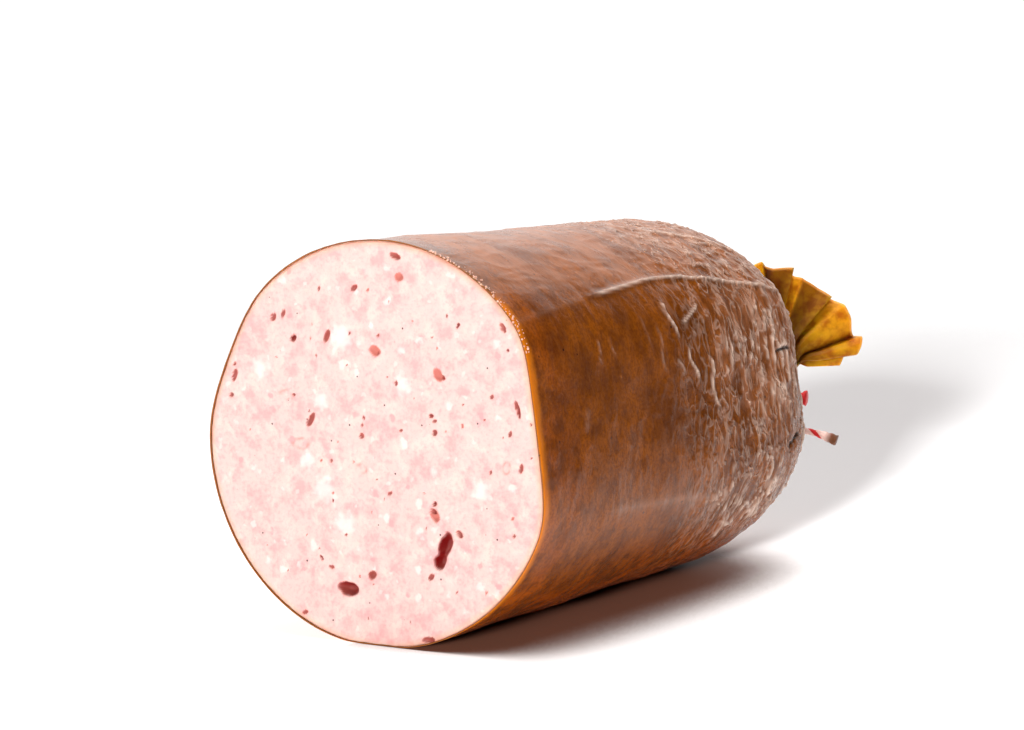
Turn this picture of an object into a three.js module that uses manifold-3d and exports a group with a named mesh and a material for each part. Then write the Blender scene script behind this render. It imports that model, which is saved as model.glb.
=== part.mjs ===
// A cured sausage, cut straight across at one end and tied at the other.
// Three pieces: the meat filling, the smoked casing around it, whose gathered end
// opens into a pleated tail, and the string tied round the gathered neck.
// Millimetres, +Z up. The sausage lies along Y with its cut face towards -Y. The origin is
// the middle of the flat strip that it rests on.
import * as THREE from 'three';
import { mergeVertices } from 'three/addons/utils/BufferGeometryUtils.js';
import Module from 'manifold-3d';

// Body
const BODY_RADIUS = 50;
const STRAIGHT_LENGTH = 130;    // from the cut face to where the end starts to close
const CAP_LENGTH = 47;          // of the closing end, down to the neck
const CAP_POWER = 2.2;          // of the superellipse that rounds the closing end
const CASING_WALL = 0.6;
const MEAT_GAP = 0.3;           // between the meat and the casing
const REST_DEPTH = 0.7;         // how far the underside is pressed flat
const FLAT_SHARPNESS = 0.7;     // per millimetre, of the edges between flats and round
const FLATS = [                 // pressed along the body, each as deep as its middle
  { angle: 8, depth: 4.3 },
  { angle: 156, depth: 1.3 },
];

// Neck and tail
const NECK_RADIUS = 5.5;
const NECK_SIDEWAYS = 11;       // the gathered end is pulled off the body's axis
const NECK_RAISED = 2;
const NECK_PULL_POWER = 5;      // of the distance along the closing end, in how far it is pulled
const NECK_DIRECTION = new THREE.Vector3(0.36, 0.92, 0.12).normalize();
const TAIL_LENGTH = 30;
const TAIL_DIRECTION = new THREE.Vector3(0.38, 0.52, 0.77).normalize();
const TAIL_FRONT = new THREE.Vector3(0.59, -0.78, 0.23);   // the way the fan faces
const TAIL_HALF_SPREAD = 50;    // degrees either side of the tail's direction
const TAIL_THICKNESS = 1.2;     // of the two layers pressed together
const PLEATS = 6;
const PLEAT_DEPTH = 2.2;        // either side of the fan's plane, at its edge
const FAN_OPENS_BY = 0.5;       // share of the tail's length over which the round neck flattens
const NECK_BEND = 1.5;          // from the end of the tie to the bend into the fan

// Tie
const STRING_DIAMETER = 2.2;
const STRING_TURNS = 3;
const TURN_GAP = 0.1;
const TIE_CLEARANCE = 0.3;      // between the string and what it goes round
const KNOT_ANGLE = 77;          // degrees round the neck, from its front
const KNOT_RADIUS = 2.4;

// The string's two cut ends, from the knot's middle: towards the neck's front, its side, along it.
const SHORT_END = [[0, 0, 0], [1.8, 3.2, 2], [3.5, 6.3, 4], [4.8, 7.9, 5.3]];
const LONG_END = [
  [0, 0, 0], [-2.3, 4.7, 0.2], [-2.9, 9, 0.9], [-2.8, 12.1, 2], [-1.2, 15, 3.4], [1.2, 18.7, 5.7],
  [3.1, 22.8, 8.1],
];

// How finely the surfaces are divided
const SIDES = 72;               // round the body; a point falls on its lowest line
const STRAIGHT_RINGS = 4;
const CAP_RINGS = 14;
const TAIL_RINGS = 9;
const STRING_SIDES = 10;
const STEPS_PER_TURN = 18;
const END_STEPS = 10;

// Directions round the body are degrees in the XZ plane: 0 is +X and 90 is +Z.
const FRONT_ANGLE = 40;         // the line down the body that runs into the tail's front
const AXIS_HEIGHT = BODY_RADIUS - REST_DEPTH;
const CUT_Y = -STRAIGHT_LENGTH / 2;
const NECK_Y = CUT_Y + STRAIGHT_LENGTH + CAP_LENGTH;

const radians = THREE.MathUtils.degToRad;
const alongBody = new THREE.Vector3(0, 1, 0);
const alongNeck = new THREE.Vector3(0, 0, 1);    // in the string's own frame
const bodyFront = new THREE.Vector3(Math.cos(radians(FRONT_ANGLE)), 0, Math.sin(radians(FRONT_ANGLE)));

// The tie's turns need this much neck, far enough out to clear the body's end.
const turnPitch = STRING_DIAMETER + TURN_GAP;
const turnRadius = NECK_RADIUS + TIE_CLEARANCE + STRING_DIAMETER / 2;
const neckTilt = NECK_DIRECTION.angleTo(alongBody);
const neckLead = (turnRadius + STRING_DIAMETER / 2) * Math.tan(neckTilt) + TIE_CLEARANCE / Math.cos(neckTilt);
const neckLength = STRING_TURNS * turnPitch + STRING_DIAMETER + 2 * TIE_CLEARANCE;

// Points along the neck, measured from the body's axis.
const neckStart = new THREE.Vector3(NECK_SIDEWAYS, NECK_Y, NECK_RAISED);
const waistStart = neckStart.clone().addScaledVector(NECK_DIRECTION, neckLead);
const waistMiddle = waistStart.clone().addScaledVector(NECK_DIRECTION, neckLength / 2);
const waistEnd = waistStart.clone().addScaledVector(NECK_DIRECTION, neckLength);
const fanRoot = waistEnd.clone().addScaledVector(NECK_DIRECTION, NECK_BEND);

// A frame across a direction: front as near as it can be to the given one, side square to both.
function frameAcross(direction, wantedFront) {
  const along = direction.clone().normalize();
  const front = wantedFront.clone().addScaledVector(along, -wantedFront.dot(along)).normalize();
  return { along, front, side: along.clone().cross(front) };
}

const neckFrame = frameAcross(NECK_DIRECTION, bodyFront);
const fanFrame = frameAcross(TAIL_DIRECTION, TAIL_FRONT);

// How much the flats draw in the round section at an angle: a soft minimum of the
// circle and of the straight lines, as a share of the radius.
function sectionFactor(angle) {
  let sum = Math.exp(0);
  for (const flat of FLATS) {
    const turn = Math.cos(angle - radians(flat.angle));
    if (turn > 0) sum += Math.exp(-FLAT_SHARPNESS * ((BODY_RADIUS - flat.depth) / turn - BODY_RADIUS));
  }
  return 1 - Math.log(sum) / FLAT_SHARPNESS / BODY_RADIUS;
}

// The body's profile, moved in by inset square to its surface: distances along the body
// from the cut face, and radii. The closing end is a quarter of a superellipse.
function bodyProfile(inset) {
  const profile = [];
  for (let ring = 0; ring < STRAIGHT_RINGS; ring += 1) {
    profile.push({ along: STRAIGHT_LENGTH * ring / STRAIGHT_RINGS, radius: BODY_RADIUS - inset });
  }
  const drop = BODY_RADIUS - NECK_RADIUS;
  for (let ring = 0; ring <= CAP_RINGS; ring += 1) {
    const turn = (Math.PI / 2) * (ring / CAP_RINGS);
    const sine = Math.sin(turn);
    const cosine = Math.max(Math.cos(turn), 0);
    const normal = new THREE.Vector2(
      sine ** (2 - 2 / CAP_POWER) / CAP_LENGTH,
      cosine ** (2 - 2 / CAP_POWER) / drop,
    ).normalize();
    profile.push({
      along: STRAIGHT_LENGTH + CAP_LENGTH * sine ** (2 / CAP_POWER) - inset * normal.x,
      radius: NECK_RADIUS + drop * cosine ** (2 / CAP_POWER) - inset * normal.y,
    });
  }
  return profile;
}

// The closing end is pulled off the body's axis towards the neck, most of it near the neck.
function axisPoint(along) {
  const pull = (Math.max(along - STRAIGHT_LENGTH, 0) / CAP_LENGTH) ** NECK_PULL_POWER;
  return new THREE.Vector3(NECK_SIDEWAYS * pull, CUT_Y + along, NECK_RAISED * pull);
}

// One ring of the body, starting opposite the tail's side direction and turning positively about +Y.
function bodyRing(point, inset) {
  const centre = axisPoint(point.along);
  const floor = inset - AXIS_HEIGHT;
  return Array.from({ length: SIDES }, (_, index) => {
    const angle = radians(FRONT_ANGLE + 90) - (2 * Math.PI * index) / SIDES;
    const radius = point.radius * sectionFactor(angle);
    return new THREE.Vector3(
      centre.x + radius * Math.cos(angle),
      centre.y,
      Math.max(centre.z + radius * Math.sin(angle), floor),
    );
  });
}

// A round ring of the neck, in step with the body's rings.
function neckRing(centre, frame) {
  return Array.from({ length: SIDES }, (_, index) => {
    const turn = (2 * Math.PI * index) / SIDES;
    return centre.clone()
      .addScaledVector(frame.side, -NECK_RADIUS * Math.cos(turn))
      .addScaledVector(frame.front, NECK_RADIUS * Math.sin(turn));
  });
}

// A triangle wave between -1 and 1 with its period 1.
function pleatWave(value) {
  return 4 * Math.abs(value - Math.floor(value + 0.5)) - 1;
}

// A ring of the tail at a share of its length: a flat pleated loop, spread like a fan, that
// the round neck passes into. Half the ring is its front layer and half is its back layer.
function tailRing(share) {
  const reach = TAIL_LENGTH * share;
  const flatness = THREE.MathUtils.smoothstep(share, 0, FAN_OPENS_BY);
  const direction = NECK_DIRECTION.clone().lerp(TAIL_DIRECTION, flatness);
  const frame = frameAcross(direction, neckFrame.front.clone().lerp(fanFrame.front, flatness));
  const round = neckRing(fanRoot.clone().addScaledVector(frame.along, reach), frame);
  const half = SIDES / 2;
  return round.map((roundPoint, index) => {
    const across = index <= half ? index / half : (SIDES - index) / half;
    const layer = Math.sign(half - index) * (index === 0 ? 0 : 1);
    const spread = radians(TAIL_HALF_SPREAD) * (2 * across - 1);
    const lift = PLEAT_DEPTH * share * pleatWave(across * PLEATS) + layer * TAIL_THICKNESS / 2;
    const flatPoint = fanRoot.clone()
      .addScaledVector(fanFrame.along, reach * Math.cos(spread))
      .addScaledVector(fanFrame.side, reach * Math.sin(spread))
      .addScaledVector(fanFrame.front, lift);
    return roundPoint.lerp(flatPoint, flatness);
  });
}

// Joins rings of points into one closed skin. The first ring is drawn in to a point. The last
// is drawn in to a point too, or is closed straight across between its two layers.
function closedSkin(rings, firstPoint, lastPoint) {
  const positions = [firstPoint, ...rings.flat()];
  const at = (ring, index) => 1 + ring * SIDES + (index % SIDES);
  const faces = [];
  for (let index = 0; index < SIDES; index += 1) faces.push([0, at(0, index + 1), at(0, index)]);
  for (let ring = 0; ring + 1 < rings.length; ring += 1) {
    for (let index = 0; index < SIDES; index += 1) {
      faces.push([at(ring, index), at(ring, index + 1), at(ring + 1, index + 1)]);
      faces.push([at(ring, index), at(ring + 1, index + 1), at(ring + 1, index)]);
    }
  }
  const last = rings.length - 1;
  if (lastPoint) {
    positions.push(lastPoint);
    for (let index = 0; index < SIDES; index += 1) {
      faces.push([at(last, index), at(last, index + 1), positions.length - 1]);
    }
  } else {
    for (let index = 0; index < SIDES / 2; index += 1) {
      const [front, nextFront] = [at(last, index), at(last, index + 1)];
      const [back, nextBack] = [at(last, SIDES - index), at(last, SIDES - index - 1)];
      if (nextFront !== nextBack) faces.push([front, nextFront, nextBack]);
      if (front !== back) faces.push([front, nextBack, back]);
    }
  }
  const geometry = new THREE.BufferGeometry().setFromPoints(positions);
  geometry.setIndex(faces.flat());
  geometry.computeVertexNormals();
  return geometry;
}

// The meat fills the body behind a flat cut face.
function meatGeometry() {
  const inset = CASING_WALL + MEAT_GAP;
  const profile = bodyProfile(inset);
  const rings = profile.map((point) => bodyRing(point, inset));
  return closedSkin(rings, axisPoint(0), axisPoint(profile.at(-1).along));
}

// The casing is one skin: its inner wall from the closed end to the cut, and back along its
// outer wall to the neck and the tail.
function casingGeometry() {
  const inner = bodyProfile(CASING_WALL);
  const rings = [
    ...inner.map((point) => bodyRing(point, CASING_WALL)).reverse(),
    ...bodyProfile(0).map((point) => bodyRing(point, 0)),
    neckRing(waistStart, neckFrame),
    neckRing(waistEnd, neckFrame),
  ];
  for (let ring = 1; ring <= TAIL_RINGS; ring += 1) rings.push(tailRing(ring / TAIL_RINGS));
  return closedSkin(rings, axisPoint(inner.at(-1).along), null);
}

// The helix of the turns round the neck, which starts and ends at the knot.
class TurnsCurve extends THREE.Curve {
  getPoint(share, target = new THREE.Vector3()) {
    const angle = radians(KNOT_ANGLE) + 2 * Math.PI * STRING_TURNS * share;
    const height = STRING_TURNS * turnPitch * (share - 0.5);
    return target.set(turnRadius * Math.cos(angle), turnRadius * Math.sin(angle), height);
  }
}

// A round string along a curve.
function stringAlong(curve, steps) {
  const section = new THREE.Shape();
  section.absarc(0, 0, STRING_DIAMETER / 2, 0, 2 * Math.PI);
  return new THREE.ExtrudeGeometry(section, {
    steps, curveSegments: STRING_SIDES / 2, bevelEnabled: false, extrudePath: curve,
  });
}

// The knot, drawn out along the neck far enough to hold both ends of the turns.
function knotGeometry(centre) {
  const geometry = new THREE.SphereGeometry(1, 16, 12);
  geometry.scale(KNOT_RADIUS, KNOT_RADIUS, (STRING_TURNS * turnPitch + STRING_DIAMETER) / 2);
  return geometry.translate(centre.x, centre.y, centre.z);
}

const wasm = await Module();
wasm.setup();

function solidOf(geometry) {
  const bare = geometry.clone();
  bare.deleteAttribute('normal');
  bare.deleteAttribute('uv');
  const merged = mergeVertices(bare, 1e-4);
  return new wasm.Manifold(new wasm.Mesh({
    numProp: 3,
    vertProperties: new Float32Array(merged.attributes.position.array),
    triVerts: new Uint32Array(merged.index.array),
  }));
}

function geometryOf(solid) {
  const mesh = solid.getMesh();
  const geometry = new THREE.BufferGeometry();
  geometry.setAttribute('position', new THREE.BufferAttribute(mesh.vertProperties, 3));
  geometry.setIndex(new THREE.BufferAttribute(mesh.triVerts, 1));
  geometry.computeVertexNormals();
  return geometry;
}

// The string in the neck's own frame: x is the neck's front, y its side and z along it.
function stringGeometry() {
  const knotReach = NECK_RADIUS + TIE_CLEARANCE + KNOT_RADIUS;
  const knotCentre = new THREE.Vector3(knotReach, 0, 0).applyAxisAngle(alongNeck, radians(KNOT_ANGLE));
  let solid = solidOf(stringAlong(new TurnsCurve(), STRING_TURNS * STEPS_PER_TURN));
  solid = solid.add(solidOf(knotGeometry(knotCentre)));
  for (const end of [SHORT_END, LONG_END]) {
    const points = end.map((point) => new THREE.Vector3(...point).add(knotCentre));
    solid = solid.add(solidOf(stringAlong(new THREE.CatmullRomCurve3(points), END_STEPS)));
  }
  return geometryOf(solid);
}

function namedMesh(name, geometry, colour, roughness) {
  const material = new THREE.MeshStandardMaterial({ color: colour, roughness, metalness: 0 });
  const mesh = new THREE.Mesh(geometry, material);
  mesh.name = name;
  return mesh;
}

// The tie's group stands at the middle of the neck's waist and is turned along it.
function tieGroup() {
  const group = new THREE.Group();
  group.position.copy(waistMiddle);
  group.quaternion.setFromRotationMatrix(
    new THREE.Matrix4().makeBasis(neckFrame.front, neckFrame.side, neckFrame.along),
  );
  group.add(namedMesh('tie_string', stringGeometry(), 0xc2544a, 0.9));
  return group;
}

const sausage = new THREE.Group();
sausage.position.z = AXIS_HEIGHT;
sausage.add(
  namedMesh('meat', meatGeometry(), 0xe9b8b0, 0.55),
  namedMesh('casing', casingGeometry(), 0x7d4a22, 0.35),
  tieGroup(),
);

export default sausage;
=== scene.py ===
"""A cured sausage: its cut face, its smoked casing with the gathered tail, and the string round its neck.

Shapes are worked out in millimetres and put into their meshes in metres. The sausage lies
along Y with its cut face towards -Y. Angles round the body are in the XZ plane: 0 degrees is
+X and 90 is +Z. "Along" is the distance from the cut face.
"""

import logging
import math
from dataclasses import dataclass, field
from enum import Enum
from functools import cache

import bpy
import numpy as np
from mathutils import Matrix, Vector


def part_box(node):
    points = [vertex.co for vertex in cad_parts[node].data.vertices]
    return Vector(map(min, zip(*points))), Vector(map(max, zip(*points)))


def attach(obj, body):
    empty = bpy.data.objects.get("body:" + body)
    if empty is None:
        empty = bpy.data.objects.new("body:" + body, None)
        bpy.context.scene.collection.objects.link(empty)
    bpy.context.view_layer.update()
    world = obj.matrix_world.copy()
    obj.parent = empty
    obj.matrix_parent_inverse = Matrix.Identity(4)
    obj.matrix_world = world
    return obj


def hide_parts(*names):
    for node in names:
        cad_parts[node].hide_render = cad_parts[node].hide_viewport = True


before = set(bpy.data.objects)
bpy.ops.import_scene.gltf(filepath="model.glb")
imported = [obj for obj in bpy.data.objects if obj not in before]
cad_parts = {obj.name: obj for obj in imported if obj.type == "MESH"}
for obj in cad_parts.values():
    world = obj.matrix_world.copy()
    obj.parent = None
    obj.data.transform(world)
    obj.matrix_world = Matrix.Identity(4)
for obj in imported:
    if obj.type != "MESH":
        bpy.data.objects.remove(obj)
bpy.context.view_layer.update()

LOG = logging.getLogger("sausage")
MM = 0.001  # a millimetre in metres
ROOT = "root"


# ---------------------------------------------------------------- working with numbers


def smoothstep(low: float, high: float, value: np.ndarray) -> np.ndarray:
    """A smooth rise from 0 at low to 1 at high: 3t^2 - 2t^3, where t is the share of the way."""
    share = np.clip((value - low) / (high - low), 0, 1)
    return share * share * (3 - 2 * share)


def unit(vector: np.ndarray) -> np.ndarray:
    """Vectors along the last axis, scaled to length 1."""
    return vector / np.linalg.norm(vector, axis=-1, keepdims=True)


def wrap(angle: np.ndarray) -> np.ndarray:
    """Angles in degrees brought between -180 and 180."""
    return (angle + 180) % 360 - 180


def lattice_noise(points: np.ndarray, seed: int) -> np.ndarray:
    """Smooth noise between about -1 and 1.

    Every whole-numbered corner has a random slope, and a point blends the eight corners
    round it by 6t^5 - 15t^4 + 10t^3.

    Args:
        points: places, with x, y and z along the last axis; one cell is 1 wide.
        seed: picks the slopes.

    Returns:
        One value for each point.
    """
    rng = np.random.default_rng(seed)
    shuffled = rng.permutation(256)
    slopes = unit(rng.normal(size=(256, 3)))
    cell = np.floor(points).astype(np.int64)
    inside = points - cell
    fade = inside**3 * (inside * (inside * 6 - 15) + 10)
    total = np.zeros(points.shape[:-1])
    for corner in np.ndindex(2, 2, 2):
        step = np.array(corner)
        at = (cell + step) & 255
        pick = shuffled[(shuffled[(shuffled[at[..., 0]] + at[..., 1]) & 255] + at[..., 2]) & 255]
        weight = np.prod(np.where(step == 1, fade, 1 - fade), axis=-1)
        total += weight * (slopes[pick] * (inside - step)).sum(-1)
    return total * 1.7


def crests(points: np.ndarray, seed: int, sharpness: float) -> np.ndarray:
    """Sharp crests between 0 and 1 where smooth noise passes through 0: (1 - |noise|)^sharpness."""
    return np.clip(1 - np.abs(lattice_noise(points, seed)) * 1.6, 0, 1) ** sharpness


def curve_through(points: np.ndarray, steps: int) -> np.ndarray:
    """A smooth line through points: a uniform Catmull-Rom spline.

    Args:
        points: the places that it passes through, one in a row.
        steps: the number of steps between two of them.

    Returns:
        The places on the line.
    """
    padded = np.vstack([2 * points[0] - points[1], points, 2 * points[-1] - points[-2]])
    share = np.linspace(0, 1, steps, endpoint=False)[:, None]
    pieces = [
        0.5 * (2 * b + (c - a) * share + (2 * a - 5 * b + 4 * c - d) * share**2
               + (3 * b - a - 3 * c + d) * share**3)
        for a, b, c, d in zip(padded, padded[1:], padded[2:], padded[3:])
    ]
    return np.vstack([*pieces, points[-1]])


# ---------------------------------------------------------------- making meshes


def ring_faces(rows: int, columns: int, first: int = 0) -> np.ndarray:
    """Four-sided faces between closed rings: a point, its neighbour and the two above them.

    Args:
        rows: the number of rings.
        columns: the points in a ring.
        first: the number of the first ring's first point.

    Returns:
        One face in a row.
    """
    at = first + np.arange(rows * columns).reshape(rows, columns)
    beside = np.roll(at, -1, axis=1)
    return np.stack([at[:-1], beside[:-1], beside[1:], at[1:]], axis=-1).reshape(-1, 4)


def pole_faces(ring: np.ndarray, pole: int, outward: bool) -> np.ndarray:
    """Triangles from a ring's points to one pole.

    Args:
        ring: the numbers of the ring's points.
        pole: the number of the pole's point.
        outward: whether the pole closes the last ring, and not the first.

    Returns:
        One triangle in a row.
    """
    beside = np.roll(ring, -1)
    tip = np.full_like(ring, pole)
    return np.stack([ring, beside, tip] if outward else [beside, ring, tip], axis=-1)


def mesh_object(name: str, points: np.ndarray, quads: np.ndarray, triangles: np.ndarray,
                marks: dict[str, np.ndarray]) -> bpy.types.Object:
    """Puts points, in millimetres, and faces into a smooth-shaded mesh object at the origin.

    Args:
        name: the piece's name.
        points: one point in a row.
        quads: four-sided faces, as numbers of points.
        triangles: three-sided faces.
        marks: values at the points that the material reads, by name.

    Returns:
        The new object.
    """
    mesh = bpy.data.meshes.new(name)
    mesh.vertices.add(len(points))
    mesh.vertices.foreach_set("co", (points * MM).astype(np.float32).ravel())
    corners = np.concatenate([quads.ravel(), triangles.ravel()]).astype(np.int32)
    sizes = np.concatenate([np.full(len(quads), 4), np.full(len(triangles), 3)])
    mesh.loops.add(len(corners))
    mesh.loops.foreach_set("vertex_index", corners)
    mesh.polygons.add(len(sizes))
    mesh.polygons.foreach_set("loop_start", np.concatenate([[0], np.cumsum(sizes)[:-1]]).astype(np.int32))
    mesh.update(calc_edges=True)
    mesh.polygons.foreach_set("use_smooth", np.ones(len(sizes), bool))
    for mark, values in marks.items():
        layer = mesh.attributes.new(mark, "FLOAT", "POINT")
        layer.data.foreach_set("value", values.astype(np.float32).ravel())
    mesh.validate()
    piece = bpy.data.objects.new(name, mesh)
    bpy.context.scene.collection.objects.link(piece)
    return piece


def settle(piece: bpy.types.Object, material: bpy.types.Material, slot: str, *nodes: str) -> None:
    """Gives a piece its material and body, and hides the CAD nodes that it stands for.

    Args:
        piece: the finished piece.
        material: its finish.
        slot: not used.
        nodes: the CAD nodes that it replaces.
    """
    piece.data.materials.append(material)
    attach(piece, ROOT)
    if nodes:
        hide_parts(*nodes)


# ---------------------------------------------------------------- the body's shape


@dataclass(frozen=True)
class Flat:
    """A flat pressed along the body: the angle that it faces, and its depth at its middle."""

    angle: float
    depth: float


@dataclass(frozen=True)
class Body:
    """The sausage's body in millimetres: a round bar with soft flats, whose far end closes to the neck."""

    radius: float = 50.0
    straight: float = 130.0
    cap: float = 47.0
    cap_power: float = 2.2
    sharpness: float = 0.7
    rest_depth: float = 0.7
    rest_softness: float = 0.25
    neck_radius: float = 5.5
    neck_shift: tuple[float, float] = (11.0, 2.0)
    pull_power: float = 5.0
    front_angle: float = 40.0
    flats: tuple[Flat, ...] = (Flat(8, 4.3), Flat(156, 1.3))

    @property
    def cut_y(self) -> float:
        """Where the cut face stands along Y."""
        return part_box("meat")[0].y / MM

    @property
    def axis_height(self) -> float:
        """The axis's height over the surface that the body rests on."""
        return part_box("casing")[0].z / MM + self.radius - self.rest_depth

    @property
    def length(self) -> float:
        """From the cut face to where the neck starts."""
        return self.straight + self.cap

    def angles(self, columns: int) -> np.ndarray:
        """A ring's angles in degrees, from opposite the tail's side, turning from +Z towards +X."""
        return self.front_angle + 90 - 360 * np.arange(columns) / columns

    def section(self, angle: np.ndarray) -> np.ndarray:
        """The section's radius: a soft minimum of a circle and of the flats' straight lines.

        Args:
            angle: angles round the body in degrees.

        Returns:
            The radius at each angle.
        """
        least_turn = 0.05  # a flat that faces further away than this draws nothing in
        far_out = 60.0  # past this the line's share is nothing
        total = np.ones_like(angle)
        for flat in self.flats:
            turn = np.cos(np.radians(angle - flat.angle))
            line = (self.radius - flat.depth) / np.maximum(turn, least_turn)
            drawn_in = np.exp(-self.sharpness * np.minimum(line - self.radius, far_out))
            total += np.where(turn > least_turn, drawn_in, 0)
        return self.radius - np.log(total) / self.sharpness

    def profile(self, share: np.ndarray) -> tuple[np.ndarray, np.ndarray]:
        """The distance along the body and the radius's share, by the share of the profile's own length.

        The profile is a straight line and then a quarter of a superellipse.

        Args:
            share: shares of the profile's length, from the cut face.

        Returns:
            The distance along the body, and the radius there as a share of the whole.
        """
        steps = 400
        turn = np.linspace(0, math.pi / 2, steps)
        along = np.append(0, self.straight + self.cap * np.sin(turn) ** (2 / self.cap_power))
        drop = 1 - self.neck_radius / self.radius
        radius = np.append(1, 1 - drop + drop * np.maximum(np.cos(turn), 0) ** (2 / self.cap_power))
        length = np.append(0, np.cumsum(np.hypot(np.diff(along), np.diff(radius) * self.radius)))
        length /= length[-1]
        return np.interp(share, length, along), np.interp(share, length, radius)

    def surface(self, along: np.ndarray, share: np.ndarray, angle: np.ndarray,
                inset: float | np.ndarray = 0.0) -> np.ndarray:
        """Points of the body: rings about an axis that is pulled aside towards the neck.

        Args:
            along: distances from the cut face.
            share: the ring's radius there, as a share of the whole.
            angle: angles round the body in degrees.
            inset: how far inside the surface the points lie.

        Returns:
            Points in millimetres.
        """
        pull = (np.maximum(along - self.straight, 0) / self.cap) ** self.pull_power
        radius = (self.section(angle) - inset) * share
        x = radius * np.cos(np.radians(angle)) + self.neck_shift[0] * pull
        z = radius * np.sin(np.radians(angle)) + self.neck_shift[1] * pull
        low = inset - self.radius + self.rest_depth
        z = low + self.rest_softness * np.logaddexp(0, (z - low) / self.rest_softness)
        along, x, z = np.broadcast_arrays(along, x, z)
        return np.stack([x, along + self.cut_y, z + self.axis_height], axis=-1)


def surface_normals(points: np.ndarray) -> np.ndarray:
    """Outward normals of a grid of rings: across its columns by along its rows.

    Args:
        points: one closed ring in a row.

    Returns:
        A normal for each point.
    """
    across = np.roll(points, -1, axis=1) - np.roll(points, 1, axis=1)
    upward = np.gradient(points, axis=0)
    return unit(np.cross(across, upward) + 1e-12)


@dataclass(frozen=True)
class Neck:
    """The gathered neck and the directions at it, measured from the body's axis, in millimetres."""

    direction: tuple[float, float, float] = (0.36, 0.92, 0.12)
    lead: float = 3.62
    waist: float = 9.7
    bend: float = 1.5

    @property
    def middle(self) -> float:
        """How far along the neck the string's middle is."""
        return self.lead + self.waist / 2

    @property
    def end(self) -> float:
        """How far along the neck the tail bends away."""
        return self.lead + self.waist + self.bend

    def frame(self, body: Body) -> tuple[np.ndarray, np.ndarray, np.ndarray]:
        """The directions at the neck, each square to the others.

        Args:
            body: the body that the neck closes.

        Returns:
            Its front, its side, and the way along it.
        """
        along = unit(np.array(self.direction))
        angle = math.radians(body.front_angle)
        wanted = np.array([math.cos(angle), 0, math.sin(angle)])
        front = unit(wanted - along * (wanted @ along))
        return front, np.cross(along, front), along

    def at(self, body: Body, distance: float) -> np.ndarray:
        """A point on the neck's axis.

        Args:
            body: the body that the neck closes.
            distance: how far it is from where the body's closing end stops.

        Returns:
            The point.
        """
        sideways, raised = body.neck_shift
        start = np.array([sideways, body.cut_y + body.length, body.axis_height + raised])
        return start + self.frame(body)[2] * distance

    def ring(self, body: Body, distance: np.ndarray, columns: int, radius: np.ndarray) -> np.ndarray:
        """Rings round the neck, in step with the body's own.

        Args:
            body: the body that the neck closes.
            distance: how far along the neck each ring is.
            columns: the points in a ring.
            radius: the rings' radius at each column.

        Returns:
            One ring in a row.
        """
        front, side, _ = self.frame(body)
        turn = 2 * np.pi * np.arange(columns) / columns
        round_it = np.outer(np.sin(turn), front) - np.outer(np.cos(turn), side)
        centres = np.array([self.at(body, d) for d in np.atleast_1d(distance)])
        return centres[:, None] + np.broadcast_to(radius, (len(centres), columns))[..., None] * round_it


# ---------------------------------------------------------------- shader nodes


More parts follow.
